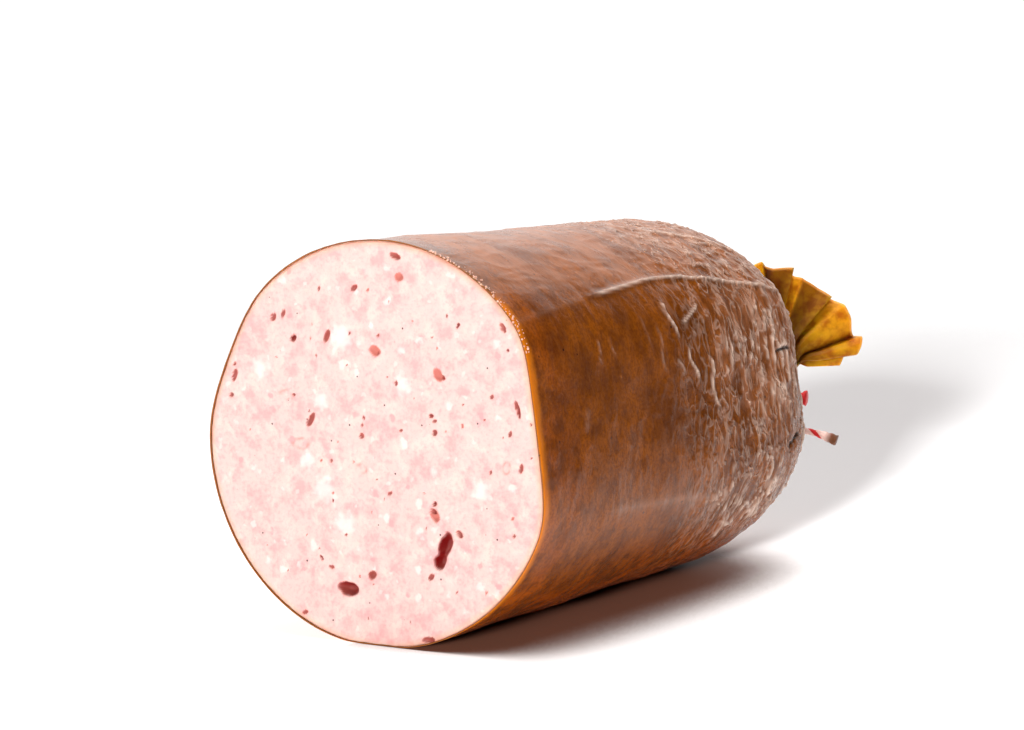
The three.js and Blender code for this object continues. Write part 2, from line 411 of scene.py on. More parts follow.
class NodeTree:
    """Adds nodes to a material or a group, in short calls."""

    def __init__(self, tree: bpy.types.NodeTree) -> None:
        """Takes the tree that it adds to."""
        self.tree = tree

    def add(self, kind: str, **settings: object) -> bpy.types.Node:
        """Adds a node of a kind, sets its own settings by name, and links or sets its inputs.

        Args:
            kind: the node's type, without its ShaderNode beginning.
            settings: a lower-case name is a setting of the node; one that starts with a
                capital or a digit is an input, with underscores for its spaces.

        Returns:
            The new node.
        """
        node = self.tree.nodes.new("ShaderNode" + kind)
        inputs = {key: value for key, value in settings.items() if not key[0].islower()}
        for key, value in settings.items():
            if key not in inputs:
                setattr(node, key, value)
        self.fill(node, **inputs)
        return node

    def fill(self, node: bpy.types.Node, **inputs: object) -> None:
        """Links or sets a node's inputs by name, with underscores for the name's spaces."""
        for name, value in inputs.items():
            self.feed(node.inputs[name.replace("_", " ")], value)

    def feed(self, socket: bpy.types.NodeSocket, value: object) -> None:
        """Links an output to a socket, or sets the socket to a value.

        Args:
            socket: the input.
            value: another node's output, or a value of the socket's kind.
        """
        if isinstance(value, bpy.types.NodeSocket):
            self.tree.links.new(value, socket)
        else:
            socket.default_value = value

    def number(self, operation: str, *values: object) -> bpy.types.NodeSocket:
        """Arithmetic on one, two or three numbers.

        Args:
            operation: the Math node's name for it.
            values: outputs or plain numbers.

        Returns:
            The result.
        """
        node = self.tree.nodes.new("ShaderNodeMath")
        node.operation = operation
        for socket, value in zip(node.inputs, values):
            self.feed(socket, value)
        return node.outputs[0]

    def ramp(self, value: object, low: float, high: float, bottom: float = 0.0,
             top: float = 1.0) -> bpy.types.NodeSocket:
        """A smooth step of a number.

        Args:
            value: the number.
            low: where the step begins.
            high: where it ends.
            bottom: the result before the step.
            top: the result after it.

        Returns:
            The stepped number.
        """
        node = self.add("MapRange", interpolation_type="SMOOTHSTEP")
        for name, item in (("Value", value), ("From Min", low), ("From Max", high),
                           ("To Min", bottom), ("To Max", top)):
            self.feed(node.inputs[name], item)
        return node.outputs[0]

    def blend(self, factor: object, first: object, second: object) -> bpy.types.NodeSocket:
        """Two colours mixed.

        Args:
            factor: 0 gives the first colour, and 1 the second.
            first: a colour.
            second: another colour.

        Returns:
            The mixed colour.
        """
        node = self.tree.nodes.new("ShaderNodeMix")
        node.data_type = "RGBA"
        colour_inputs = (node.inputs[0], node.inputs[6], node.inputs[7])
        for socket, value in zip(colour_inputs, (factor, first, second)):
            self.feed(socket, value)
        return node.outputs[2]

    def bump(self, height: object, strength: float, depth: float) -> bpy.types.NodeSocket:
        """A normal bent by a height, whose depth is in millimetres."""
        return self.add("Bump", Strength=strength, Distance=depth * MM, Height=height).outputs[0]

    def use(self, group: bpy.types.NodeTree, **inputs: object) -> bpy.types.NodeSocket:
        """Places a shared group with its own values.

        Args:
            group: the group.
            inputs: its inputs by name.

        Returns:
            The group's output.
        """
        node = self.tree.nodes.new("ShaderNodeGroup")
        node.node_tree = group
        self.fill(node, **inputs)
        return node.outputs[0]

    def mark(self, name: str) -> bpy.types.NodeSocket:
        """A value that the piece's mesh carries under that name."""
        return self.add("Attribute", attribute_name=name).outputs["Fac"]

    def millimetres(self, stretch: tuple[float, float, float] = (1, 1, 1)) -> bpy.types.NodeSocket:
        """Object coordinates in millimetres, each divided by its stretch."""
        place = self.add("TexCoord").outputs["Object"]
        scale = tuple(1 / MM / each for each in stretch)
        return self.add("Mapping", Vector=place, Scale=scale).outputs[0]

    def noise(self, place: object, size: float, detail: float = 2.0, roughness: float = 0.5,
              distortion: float = 0.0) -> bpy.types.NodeSocket:
        """Noise between 0 and 1 whose lumps are about that many millimetres across."""
        node = self.add("TexNoise", Vector=place, Scale=1 / size, Detail=detail, Roughness=roughness,
                        Distortion=distortion)
        return node.outputs[0]

    def clouds(self, place: object, size: float, span: tuple[float, float],
               strength: tuple[float, float] = (0.0, 1.0), **settings: float) -> bpy.types.NodeSocket:
        """A mask of soft clouds: where noise passes over the span, the strength goes from first to second."""
        return self.ramp(self.noise(place, size, **settings), *span, *strength)


def linear(red: int, green: int, blue: int) -> tuple[float, float, float, float]:
    """A colour given as screen values from 0 to 255, as the linear values that a shader takes."""
    screen = np.array([red, green, blue]) / 255
    return (*np.where(screen <= 0.04045, screen / 12.92, ((screen + 0.055) / 1.055) ** 2.4).tolist(), 1.0)


def new_group(name: str, inputs: dict[str, tuple[str, object]], outputs: dict[str, str]) -> NodeTree:
    """A shader node group with named sockets.

    Args:
        name: the group's name.
        inputs: the kind and the starting value of each input, by name.
        outputs: the kind of each output, by name.

    Returns:
        The group's tree, with its input and output nodes in place.
    """
    tree = bpy.data.node_groups.new(name, "ShaderNodeTree")
    for label, (kind, value) in inputs.items():
        tree.interface.new_socket(label, in_out="INPUT", socket_type=kind).default_value = value
    for label, kind in outputs.items():
        tree.interface.new_socket(label, in_out="OUTPUT", socket_type=kind)
    tree.nodes.new("NodeGroupInput")
    tree.nodes.new("NodeGroupOutput")
    return NodeTree(tree)


@cache
def fine_grain() -> bpy.types.NodeTree:
    """A shared effect: the height of fine grain and pores on food and fibre.

    Returns:
        The group, whose inputs are the place in millimetres, the grain's size and the pores' depth.
    """
    group = new_group(
        "fine_grain",
        {"Place": ("NodeSocketVector", (0, 0, 0)), "Size": ("NodeSocketFloat", 1.0),
         "Pores": ("NodeSocketFloat", 0.5)},
        {"Height": "NodeSocketFloat"},
    )
    given = group.tree.nodes["Group Input"].outputs
    per_size = group.number("DIVIDE", 1.0, given["Size"])
    fine = group.add("TexNoise", Vector=given["Place"], Scale=per_size, Detail=4.0, Roughness=0.6)
    cells = group.add("TexVoronoi", Vector=given["Place"], Scale=per_size, Randomness=1.0)
    pore = group.ramp(cells.outputs["Distance"], 0.05, 0.3, 1.0, 0.0)
    pore = group.number("MULTIPLY", pore, given["Pores"])
    height = group.number("SUBTRACT", fine.outputs[0], pore)
    group.feed(group.tree.nodes["Group Output"].inputs["Height"], height)
    return group.tree


@cache
def scattered_pieces() -> bpy.types.NodeTree:
    """A shared effect: a mask of soft blobs in the middles of cells that random colours pick.

    Returns:
        The group, whose inputs are the place in millimetres, the cells' size, the share of them
        that have a blob, the mask's greatest value, and a blob's radius as a share of its cell.
    """
    group = new_group(
        "scattered_pieces",
        {"Place": ("NodeSocketVector", (0, 0, 0)), "Size": ("NodeSocketFloat", 1.0),
         "Share": ("NodeSocketFloat", 0.3), "Strength": ("NodeSocketFloat", 1.0),
         "Reach": ("NodeSocketFloat", 0.42)},
        {"Mask": "NodeSocketFloat"},
    )
    given = group.tree.nodes["Group Input"].outputs
    per_size = group.number("DIVIDE", 1.0, given["Size"])
    cells = group.add("TexVoronoi", Vector=given["Place"], Scale=per_size, Randomness=1.0)
    picked = group.add("SeparateColor", Color=cells.outputs["Color"])
    chosen = group.number("LESS_THAN", picked.outputs[0], given["Share"])
    own_size = group.number("MULTIPLY_ADD", picked.outputs[1], 0.6, 0.5)
    near = group.number("DIVIDE", cells.outputs["Distance"], own_size)
    core = group.number("MULTIPLY", given["Reach"], 0.45)
    blob = group.ramp(near, core, given["Reach"], given["Strength"], 0.0)
    mask = group.number("MULTIPLY", blob, chosen)
    group.feed(group.tree.nodes["Group Output"].inputs["Mask"], mask)
    return group.tree


def new_material(name: str) -> tuple[bpy.types.Material, NodeTree, bpy.types.Node]:
    """Makes a node material.

    Args:
        name: the material's name.

    Returns:
        The material, its tree and its Principled shader.
    """
    material = bpy.data.materials.new(name)
    material.use_nodes = True
    return material, NodeTree(material.node_tree), material.node_tree.nodes["Principled BSDF"]


@dataclass(frozen=True)
class MeatFinish:
    """Cooked filling, cut with a knife: pale pink, with fat, darker meat, pepper and open pockets that are
    red inside, with painted shade.
    """

    matrix: tuple = linear(236, 197, 190)
    rosy: tuple = linear(229, 160, 160)
    cream: tuple = linear(242, 220, 208)
    fat: tuple = linear(250, 240, 234)
    pocket: tuple = linear(222, 132, 118)
    # Red inside the pockets, with painted shade.
    pocket_red_and_shade: tuple = linear(126, 8, 6)
    pepper: tuple = linear(52, 22, 22)
    rim: tuple = linear(236, 178, 142)
    roughness: float = 0.42
    sway: float = 2.4

    def material(self) -> bpy.types.Material:
        """Builds the finish: the flesh, what is laid into it, and a moist, uneven surface.

        Returns:
            The material.
        """
        material, tree, shader = new_material("cooked_meat")
        place = tree.millimetres()
        warp = tree.add("TexNoise", Vector=place, Scale=0.5, Detail=2.0)
        bent = tree.add("VectorMath", operation="MULTIPLY_ADD")
        for socket, value in zip(bent.inputs, (warp.outputs["Color"], (self.sway,) * 3, place)):
            tree.feed(socket, value)
        bent = bent.outputs[0]
        grain = tree.use(fine_grain(), Place=place, Size=1.1, Pores=0.35)
        height = tree.number("MULTIPLY_ADD", tree.noise(bent, 2.2), 0.6, grain)
        tree.fill(
            shader,
            Base_Color=self._opened(tree, self._flesh(tree, place, bent)),
            Normal=tree.bump(height, 0.35, 0.12),
            Roughness=tree.clouds(place, 3.0, (0.3, 0.7), (self.roughness - 0.08, self.roughness + 0.1)),
            Subsurface_Weight=0.25,
            Subsurface_Radius=(1.0, 0.35, 0.25),
            Subsurface_Scale=1.2 * MM,
            Specular_IOR_Level=0.4,
        )
        return material

    def _flesh(self, tree: NodeTree, place: object, bent: object) -> bpy.types.NodeSocket:
        """The meat's own colour: pink with rosy and creamy clouds, fat, darker meat and pepper.

        Args:
            tree: where the nodes go.
            place: coordinates in millimetres.
            bent: the same coordinates, swayed by noise.

        Returns:
            The colour.
        """
        rosy = tree.clouds(place, 4.0, (0.42, 0.68), (0, 0.7), detail=3.0, roughness=0.6)
        creamy = tree.clouds(bent, 4.5, (0.48, 0.7), (0, 0.45), detail=3.0, distortion=0.4)
        small_rosy = tree.clouds(place, 1.0, (0.45, 0.72), (0, 0.35), detail=3.0, roughness=0.7)
        colour = tree.blend(rosy, self.matrix, self.rosy)
        colour = tree.blend(creamy, colour, self.cream)
        colour = tree.blend(small_rosy, colour, self.rosy)
        for where, size, share, strength, reach, tint in (
            (bent, 4.4, 0.16, 0.5, 0.42, self.fat),
            (bent, 2.4, 0.2, 0.32, 0.42, self.fat),
            (bent, 5.0, 0.3, 0.85, 0.36, self.rosy),
            (place, 2.6, 0.3, 0.9, 0.12, self.pepper),
        ):
            mask = tree.use(scattered_pieces(), Place=where, Size=size, Share=share, Strength=strength,
                            Reach=reach)
            colour = tree.blend(mask, colour, tint)
        return colour

    def _opened(self, tree: NodeTree, colour: object) -> bpy.types.NodeSocket:
        """The colour with the large pieces of fat, the warm rim and the open pockets, red inside with painted
        shade, from the marks.

        Args:
            tree: where the nodes go.
            colour: the meat's own colour.

        Returns:
            The colour.
        """
        colour = tree.blend(tree.mark("fat"), colour, self.fat)
        colour = tree.blend(tree.ramp(tree.mark("rim"), 0.0, 2.0, 0.6, 0.0), colour, self.rim)
        inside = tree.blend(tree.mark("pocket_shade"), self.pocket, self.pocket_red_and_shade)
        return tree.blend(tree.mark("pocket"), colour, inside)


@dataclass(frozen=True)
class SkinFinish:
    """Smoked casing: glossy brown, mottled by a waxy film with a painted sheen, with painted highlights on
    its ridges, painted shade in its creases, and orange along its cut edge.
    """

    brown: tuple = linear(142, 74, 10)
    # The smoke's darker brown, and the painted shade between the crinkles.
    dark: tuple = linear(78, 36, 6)
    orange: tuple = linear(188, 88, 8)
    # A waxy film's colour, laid on as a painted sheen of reflected light too.
    waxy_film_and_sheen: tuple = linear(184, 120, 84)
    # Painted highlight on ridges and crinkles, partly waxy.
    wax_and_highlight: tuple = linear(244, 218, 200)
    # Painted shade in creases, valleys and slits, and the cut edge's dark specks.
    crease_shade_and_speck: tuple = linear(34, 16, 8)
    glow: tuple = linear(222, 122, 18)
    edge: tuple = linear(150, 92, 50)
    roughness: float = 0.24

    def material(self) -> bpy.types.Material:
        """Builds the finish: smoke, a waxy film with a painted sheen, crinkles and folds with painted
        highlights and shade, and the cut edge, over a pulled surface.

        Returns:
            The material.
        """
        material, tree, shader = new_material("smoked_casing")
        place = tree.millimetres()
        pulled = tree.millimetres((1.8, 1.0, 1.8))
        crinkled = tree.mark("crinkled")
        middle = tree.noise(pulled, 4.0, distortion=0.5)
        off_middle = tree.number("ABSOLUTE", tree.number("SUBTRACT", middle, 0.5))
        crinkle = tree.number("MULTIPLY", tree.ramp(off_middle, 0.0, 0.07, 1.0, 0.0), crinkled)
        # Painted shade between the crinkles.
        trough_shade = tree.number("MULTIPLY", tree.ramp(off_middle, 0.08, 0.22, 0.0, 0.5), crinkled)
        waxy_film_and_sheen = self._film_and_sheen_patches(tree, pulled)

        colour = self._smoke(tree, place)
        # Laid over the smoke: film and painted sheen, painted shade between crinkles, painted highlights on
        # crinkles and fold ridges, and painted shade in valleys and slits.
        for mask, tint in (
            (waxy_film_and_sheen, self.waxy_film_and_sheen),
            (trough_shade, self.dark),
            (tree.number("MULTIPLY", crinkle, 0.22), self.wax_and_highlight),
            (tree.number("MULTIPLY", tree.mark("ridge_highlight"), 0.9), self.wax_and_highlight),
            (tree.ramp(tree.mark("valley_shade"), 0.05, 0.9), self.crease_shade_and_speck),
        ):
            colour = tree.blend(mask, colour, tint)

        grain = tree.use(fine_grain(), Place=place, Size=0.8, Pores=0.4)
        height = tree.number("MULTIPLY", grain, 0.5)
        height = tree.number("MULTIPLY_ADD", tree.noise(pulled, 2.6), 0.8, height)
        height = tree.number("MULTIPLY_ADD", crinkle, 1.8, height)
        tree.fill(
            shader,
            Base_Color=self._cut_edge(tree, place, colour),
            Normal=tree.bump(height, 0.8, 0.2),
            Roughness=tree.ramp(waxy_film_and_sheen, 0.0, 0.6, self.roughness, self.roughness + 0.1),
            Specular_IOR_Level=0.1,
        )
        return material

    def _smoke(self, tree: NodeTree, place: object) -> bpy.types.NodeSocket:
        """The smoked colour: brown, with darker clouds and specks, and orange where the mark is warm.

        Args:
            tree: where the nodes go.
            place: coordinates in millimetres.

        Returns:
            The colour.
        """
        broad = tree.clouds(place, 20.0, (0.38, 0.66), (0, 0.55), detail=3.0)
        warm = tree.clouds(place, 12.0, (0.35, 0.65), (0.35, 1.0), detail=3.0)
        mottled = tree.clouds(place, 6.0, (0.36, 0.56), (0.5, 0), detail=4.0, roughness=0.65)
        specks = tree.clouds(place, 0.8, (0.34, 0.6), (0.45, 0), roughness=0.6)
        colour = tree.blend(broad, self.brown, self.dark)
        colour = tree.blend(tree.number("MULTIPLY", tree.mark("warm"), warm), colour, self.orange)
        colour = tree.blend(mottled, colour, self.dark)
        return tree.blend(specks, colour, self.dark)

    @staticmethod
    def _film_and_sheen_patches(tree: NodeTree, place: object) -> bpy.types.NodeSocket:
        """A waxy film and a painted sheen of reflected light, in patches with ragged edges, thicker and
        thinner inside them.

        Args:
            tree: where the nodes go.
            place: coordinates in millimetres.

        Returns:
            The mask.
        """
        patches = tree.noise(place, 9.0, detail=4.0, roughness=0.55)
        cover = tree.number("MULTIPLY_ADD", patches, 0.9, tree.mark("film_and_sheen"))
        thick = tree.clouds(place, 5.0, (0.3, 0.7), (0.14, 0.56), detail=3.0, distortion=0.4)
        return tree.number("MULTIPLY", tree.ramp(cover, 0.7, 1.25), thick)

    def _cut_edge(self, tree: NodeTree, place: object, colour: object) -> bpy.types.NodeSocket:
        """An orange glow beside the cut, where light comes through the meat, and a few dark specks.

        Args:
            tree: where the nodes go.
            place: coordinates in millimetres.
            colour: the casing's colour without them.

        Returns:
            The colour.
        """
        along = tree.add("SeparateXYZ", Vector=place).outputs["Y"]
        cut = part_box("meat")[0].y / MM
        wavy = tree.number("MULTIPLY_ADD", tree.noise(place, 8.0), 3.0, along)
        near = tree.number("MULTIPLY", tree.ramp(wavy, cut + 1.8, cut + 5.5, 0.95, 0.0),
                           tree.ramp(tree.mark("warm"), 0.05, 0.3))
        colour = tree.blend(near, colour, self.glow)
        colour = tree.blend(tree.ramp(along, cut, cut + 0.4, 0.9, 0.0), colour, self.edge)
        specks = tree.use(scattered_pieces(), Place=place, Size=3.5, Share=0.1, Strength=0.9, Reach=0.16)
        return tree.blend(specks, colour, self.crease_shade_and_speck)


@dataclass(frozen=True)
class TailFinish:
    """The casing's dry gathered end: thin and golden, with painted shade in its pleats and at its root, and a
    painted highlight along its free edge.
    """

    gold: tuple = linear(236, 166, 20)
    ochre: tuple = linear(178, 102, 6)
    # Painted shade in the pleats and at the root.
    fold: tuple = linear(52, 20, 0)
    # Painted highlight along the free edge.
    edge: tuple = linear(236, 178, 92)

    def material(self) -> bpy.types.Material:
        """Builds the finish: golden skin, with painted shade in its pleats and at its root, and a painted
        highlight along its free edge.

        Returns:
            The material.
        """
        material, tree, shader = new_material("dry_casing")
        place = tree.millimetres()
        stained = tree.clouds(place, 5.0, (0.35, 0.68), detail=3.0, roughness=0.6)
        colour = tree.blend(stained, self.gold, self.ochre)
        # Painted shade in the pleats, and at the root under the string.
        colour = tree.blend(tree.mark("layers"), colour, self.fold)
        colour = tree.blend(tree.ramp(tree.mark("outward"), 0.15, 0.7, 0.9, 0.0), colour, self.fold)
        # A painted highlight along the free edge.
        colour = tree.blend(tree.ramp(tree.mark("outward"), 0.965, 0.995, 0.0, 0.55), colour, self.edge)
        fibres = tree.noise(place, 0.8, detail=4.0, roughness=0.65, distortion=0.3)
        grain = tree.use(fine_grain(), Place=place, Size=0.6, Pores=0.2)
        height = tree.number("MULTIPLY_ADD", fibres, 1.2, grain)
        tree.fill(
            shader,
            Base_Color=colour,
            Normal=tree.bump(height, 0.4, 0.12),
            Roughness=tree.clouds(place, 3.0, (0.3, 0.7), (0.42, 0.58)),
            Subsurface_Weight=0.6,
            Subsurface_Radius=(1.0, 0.5, 0.08),
            Subsurface_Scale=1.6 * MM,
            Specular_IOR_Level=0.1,
        )
        return material


@dataclass(frozen=True)
class StringFinish:
    """Twisted cotton string: red and white strands, stained brown at its frayed tip."""

    white: tuple = linear(250, 226, 214)
    red: tuple = linear(214, 16, 18)
    stain: tuple = linear(104, 58, 24)
    shade: tuple = linear(110, 40, 32)

    def material(self) -> bpy.types.Material:
        """Builds the finish: the strands' colours, with darker fibres between them.

        Returns:
            The material.
        """
        material, tree, shader = new_material("cotton_string")
        lengthwise = tree.millimetres((1.0, 0.4, 1.0))
        fibres = tree.clouds(lengthwise, 0.25, (0.45, 0.8), (0.0, 0.4), detail=3.0, roughness=0.7)
        colour = tree.blend(tree.mark("red"), self.white, self.red)
        colour = tree.blend(tree.mark("stain"), colour, self.stain)
        grain = tree.use(fine_grain(), Place=tree.millimetres(), Size=0.3, Pores=0.2)
        tree.fill(
            shader,
            Base_Color=tree.blend(fibres, colour, self.shade),
            Normal=tree.bump(grain, 0.6, 0.1),
            Roughness=0.85,
            Sheen_Weight=0.25,
        )
        return material


# ---------------------------------------------------------------- the meat


DRAWN_IN_BY = 12.0  # from the cut to where the meat and the skin's inner wall are fully drawn in


class PocketKind(Enum):
    """What an opening in the cut face looks like: how much painted shade lies in it, and how far it is sunk.
    """

    HOLE = (1.0, 1.0)
    HOLLOW = (0.75, 0.7)
    DENT = (0.3, 0.4)
    RING = (0.0, 0.25)

    @property
    def dark(self) -> float:
        """How strong the painted shade inside it is."""
        return self.value[0]

    @property
    def sunk(self) -> float:
        """Its depth as a share of its half width."""
        return self.value[1]


@dataclass(frozen=True)
class Pocket:
    """An air pocket, cut open: its middle, its half length and half width, and the angle of its length."""

    x: float
    z: float
    half_length: float
    half_width: float
    angle: float
    kind: PocketKind


@dataclass(frozen=True)
class FatPiece:
    """A large piece of white fat in the cut face: its middle and its radius."""

    x: float
    z: float
    radius: float


POCKETS = (
    Pocket(20, -23, 3.4, 1.9, 68, PocketKind.HOLE),
    Pocket(18.5, -27, 2.2, 1.7, 75, PocketKind.HOLE),
    Pocket(16, -31, 1.1, 0.7, 50, PocketKind.HOLLOW),
    Pocket(-8, -36, 3.2, 1.8, -6, PocketKind.HOLE),
    Pocket(-1, -32, 1.3, 1.1, 50, PocketKind.HOLLOW),
    Pocket(-13, -31, 0.9, 0.5, -5, PocketKind.HOLLOW),
    Pocket(-16, -29, 0.8, 0.4, -45, PocketKind.HOLE),
    Pocket(17, -16, 1.9, 1.2, -65, PocketKind.DENT),
    Pocket(16.5, -15, 0.9, 0.5, -60, PocketKind.HOLE),
    Pocket(24, -20, 1.2, 0.7, -50, PocketKind.HOLLOW),
    Pocket(-24, 25, 1.0, 0.9, 40, PocketKind.HOLE),
    Pocket(-14, 26, 1.8, 0.8, 65, PocketKind.HOLLOW),
    Pocket(0, 23, 1.7, 1.3, -30, PocketKind.DENT),
    Pocket(18, 18, 1.8, 1.2, -50, PocketKind.DENT),
    Pocket(19.5, 17.5, 0.7, 0.4, -60, PocketKind.HOLE),
    Pocket(-42, 15, 1.7, 0.8, 75, PocketKind.HOLLOW),
    Pocket(-43, 10, 0.7, 0.6, 0, PocketKind.HOLLOW),
    Pocket(-26, 11, 2.2, 1.3, -10, PocketKind.RING),
    Pocket(-24, 11, 0.5, 0.4, 0, PocketKind.HOLE),
    Pocket(-19, 5, 2.0, 0.9, 60, PocketKind.HOLLOW),
    Pocket(-22, -1, 2.6, 1.5, 0, PocketKind.RING),
    Pocket(-4, -6, 1.7, 1.4, 0, PocketKind.RING),
    Pocket(-4, 2, 0.8, 0.7, 80, PocketKind.HOLLOW),
    Pocket(16, 8, 0.7, 0.5, 0, PocketKind.HOLE),
    Pocket(17, 4, 0.9, 0.7, 60, PocketKind.HOLLOW),
    Pocket(40, 11, 2.3, 0.6, -72, PocketKind.HOLE),
    Pocket(38, 5, 0.9, 0.5, 75, PocketKind.HOLLOW),
    Pocket(37, -3, 1.7, 1.1, 70, PocketKind.RING),
    Pocket(41, -3, 1.2, 0.6, 80, PocketKind.HOLLOW),
    Pocket(6, 46, 1.8, 0.8, -20, PocketKind.HOLLOW),
    Pocket(7, 41, 1.3, 1.1, 0, PocketKind.DENT),
    Pocket(-6, 38, 1.2, 0.7, 40, PocketKind.HOLLOW),
    Pocket(-30, 30, 1.1, 0.8, 50, PocketKind.HOLLOW),
    Pocket(-27, 31, 1.2, 0.6, 70, PocketKind.HOLLOW),
    Pocket(36, 30, 1.5, 0.6, -60, PocketKind.HOLLOW),
    Pocket(15, -46.5, 2.0, 0.8, 10, PocketKind.HOLLOW),
    Pocket(-21, -43, 1.0, 0.5, 20, PocketKind.HOLLOW),
)

FAT_PIECES = (
    FatPiece(-10, 26, 3.6), FatPiece(-16, 10, 2.4), FatPiece(-15, -12, 3.4), FatPiece(-9, -20, 3.0),
    FatPiece(30, -9, 2.4), FatPiece(8, 15, 2.6), FatPiece(-34, 17, 2.6), FatPiece(-20, -5, 2.2),
)


@dataclass(frozen=True)
class Meat:
    """The filling: a flat cut face with open pockets, and the body behind it."""

    body: Body
    finish: MeatFinish = field(default_factory=MeatFinish)
    inset: float = 0.4
    drawn_in: float = 2.2
    cells: int = 272
    rings: int = 13
    small_pockets: int = 64
    scattered_to: float = 46.0
    seed: int = 11

    def build(self) -> bpy.types.Object:
        """Builds the cut face, the body behind it down to its pole, and dresses them.

        Returns:
            The piece.
        """
        face, rim_distance = self._face()
        sunk, marks = self._pockets(face, rim_distance)
        points = np.stack([face[..., 0], np.full(face.shape[:2], self.body.cut_y) + sunk,
                           face[..., 1] + self.body.axis_height], axis=-1).reshape(-1, 3)
        side = self.cells + 1
        at = np.arange(side * side).reshape(side, side)
        quads = np.stack([at[:-1, :-1], at[:-1, 1:], at[1:, 1:], at[1:, :-1]], axis=-1).reshape(-1, 4)
        border = np.concatenate([at[0, :-1], at[:-1, -1], at[-1, :0:-1], at[:0:-1, 0]])

        angle = np.degrees(np.arctan2(face[..., 1], face[..., 0])).ravel()[border]
        along, share = self.body.profile(np.append([0.01, 0.03], np.linspace(0, 1, self.rings + 1)[1:]))
        inset = self.inset + self.drawn_in * smoothstep(0, DRAWN_IN_BY, along[:, None])
        rings = self.body.surface(along[:, None], share[:, None], angle[None], inset)
        first = len(points)
        rows, columns = rings.shape[:2]
        pole = first + rows * columns
        points = np.vstack([points, rings.reshape(-1, 3), rings[-1].mean(0)])
        ring_at = first + np.arange(rows * columns).reshape(rows, columns)
        beside = np.roll(border, -1)
        joint = np.stack([border, ring_at[0], np.roll(ring_at[0], -1), beside], axis=-1)
        walls = ring_faces(rows, columns, first)[:, ::-1]
        quads = np.vstack([quads, joint, walls])
        triangles = pole_faces(ring_at[-1], pole, outward=False)
        spare = len(points) - side * side
        marks = {name: np.append(values.ravel(), np.zeros(spare)) for name, values in marks.items()}
        piece = mesh_object("meat_filling", points, quads, triangles, marks)
        settle(piece, self.finish.material(), "meat", "meat")
        return piece

    def _face(self) -> tuple[np.ndarray, np.ndarray]:
        """A square grid laid over the cut face without a middle point.

        A square's point (a, b) goes to the radius that is the greater of |a| and |b|, at an angle
        of 45 degrees times the lesser over the greater, and the radius is stretched to the section.

        Returns:
            The x and z of each point from the body's axis, and its distance from the rim.
        """
        step = np.linspace(-1, 1, self.cells + 1)
        a, b = np.meshgrid(step, step)
        flat = np.abs(a) >= np.abs(b)
        reach = np.where(flat, a, b)
        turn = np.where(flat, b, a) / np.where(reach == 0, 1, reach) * (math.pi / 4)
        x = np.where(flat, reach * np.cos(turn), reach * np.sin(turn))
        z = np.where(flat, reach * np.sin(turn), reach * np.cos(turn))
        radius = self.body.section(np.degrees(np.arctan2(z, x))) - self.inset
        share = np.hypot(x, z)
        low = self.inset - self.body.axis_height
        face = np.stack([x * radius, np.maximum(z * radius, low)], axis=-1)
        return face, radius * (1 - share)

    def _pockets(self, face: np.ndarray,
                 rim_distance: np.ndarray) -> tuple[np.ndarray, dict[str, np.ndarray]]:
        """How far each point of the face is sunk, and the marks that colour it.

        A pocket's distance is 1 on an ellipse whose outline is bent by noise. Inside, the face
        drops along a steep wall to a flat bottom.

        Args:
            face: the x and z of each point.
            rim_distance: its distance from the rim.

        Returns:
            The depth, and the marks by name.
        """
        place = np.stack([face[..., 0], np.zeros(face.shape[:2]), face[..., 1]], axis=-1)
        sunk = 0.07 * lattice_noise(place / 2.5, seed=3) + 0.05 * lattice_noise(place / 1.1, seed=4)
        sunk += 0.35 * smoothstep(0.7, 0.0, rim_distance)
        outline = 1 + 0.16 * lattice_noise(place / 1.7, seed=5)
        ring_share = smoothstep(-0.5, 0.4, lattice_noise(place / 1.8, seed=8))
        pocket, dark, fat = (np.zeros(face.shape[:2]) for _ in range(3))
        for item in (*POCKETS, *self._random_pockets()):
            turn = math.radians(item.angle)
            x, z = face[..., 0] - item.x, face[..., 1] - item.z
            length = (x * math.cos(turn) + z * math.sin(turn)) / item.half_length
            width = (z * math.cos(turn) - x * math.sin(turn)) / item.half_width
            distance = np.hypot(length, width) * outline
            if item.kind is PocketKind.RING:
                band = np.exp(-(((distance - 0.85) / 0.22) ** 2)) * ring_share
                pocket = np.maximum(pocket, 0.6 * band)
                sunk += item.kind.sunk * item.half_width * 0.4 * band
                continue
            inside = smoothstep(1.12, 0.86, distance)
            sunk += item.kind.sunk * item.half_width * 1.4 * smoothstep(1.05, 0.35, distance)
            # Painted shade inside the pocket, stronger towards one side.
            shade = item.kind.dark * (0.66 + 0.34 * smoothstep(-0.7, 0.5, length * 0.3 + width * 0.7))
            dark = np.where(inside > 0.3, np.maximum(dark, shade), dark)
            pocket = np.maximum(pocket, inside)
        for item in FAT_PIECES:
            distance = np.hypot(face[..., 0] - item.x, face[..., 1] - item.z) / item.radius
            distance *= 1 + 0.6 * lattice_noise(place / 1.6, seed=6)
            fat = np.maximum(fat, 0.55 * smoothstep(1.25, 0.3, distance))
        return sunk, {"pocket": pocket, "pocket_shade": dark, "fat": fat, "rim": rim_distance}

    def _random_pockets(self) -> list[Pocket]:
        """Small pockets scattered over the face, each of its own size and slant.

        Returns:
            The pockets.
        """
        rng = np.random.default_rng(self.seed)
        reach = self.scattered_to * np.sqrt(rng.random(self.small_pockets))
        angle = 2 * np.pi * rng.random(self.small_pockets)
        length = 0.3 + 0.5 * rng.random(self.small_pockets) ** 3
        slant = rng.uniform(20, 110, self.small_pockets)
        kinds = rng.choice([PocketKind.HOLLOW, PocketKind.DENT, PocketKind.HOLE], self.small_pockets,
                           p=[0.5, 0.25, 0.25])
        return [Pocket(r * math.cos(a), r * math.sin(a), size, size * 0.7, tilt, kind)
                for r, a, size, tilt, kind in zip(reach, angle, length, slant, kinds)]


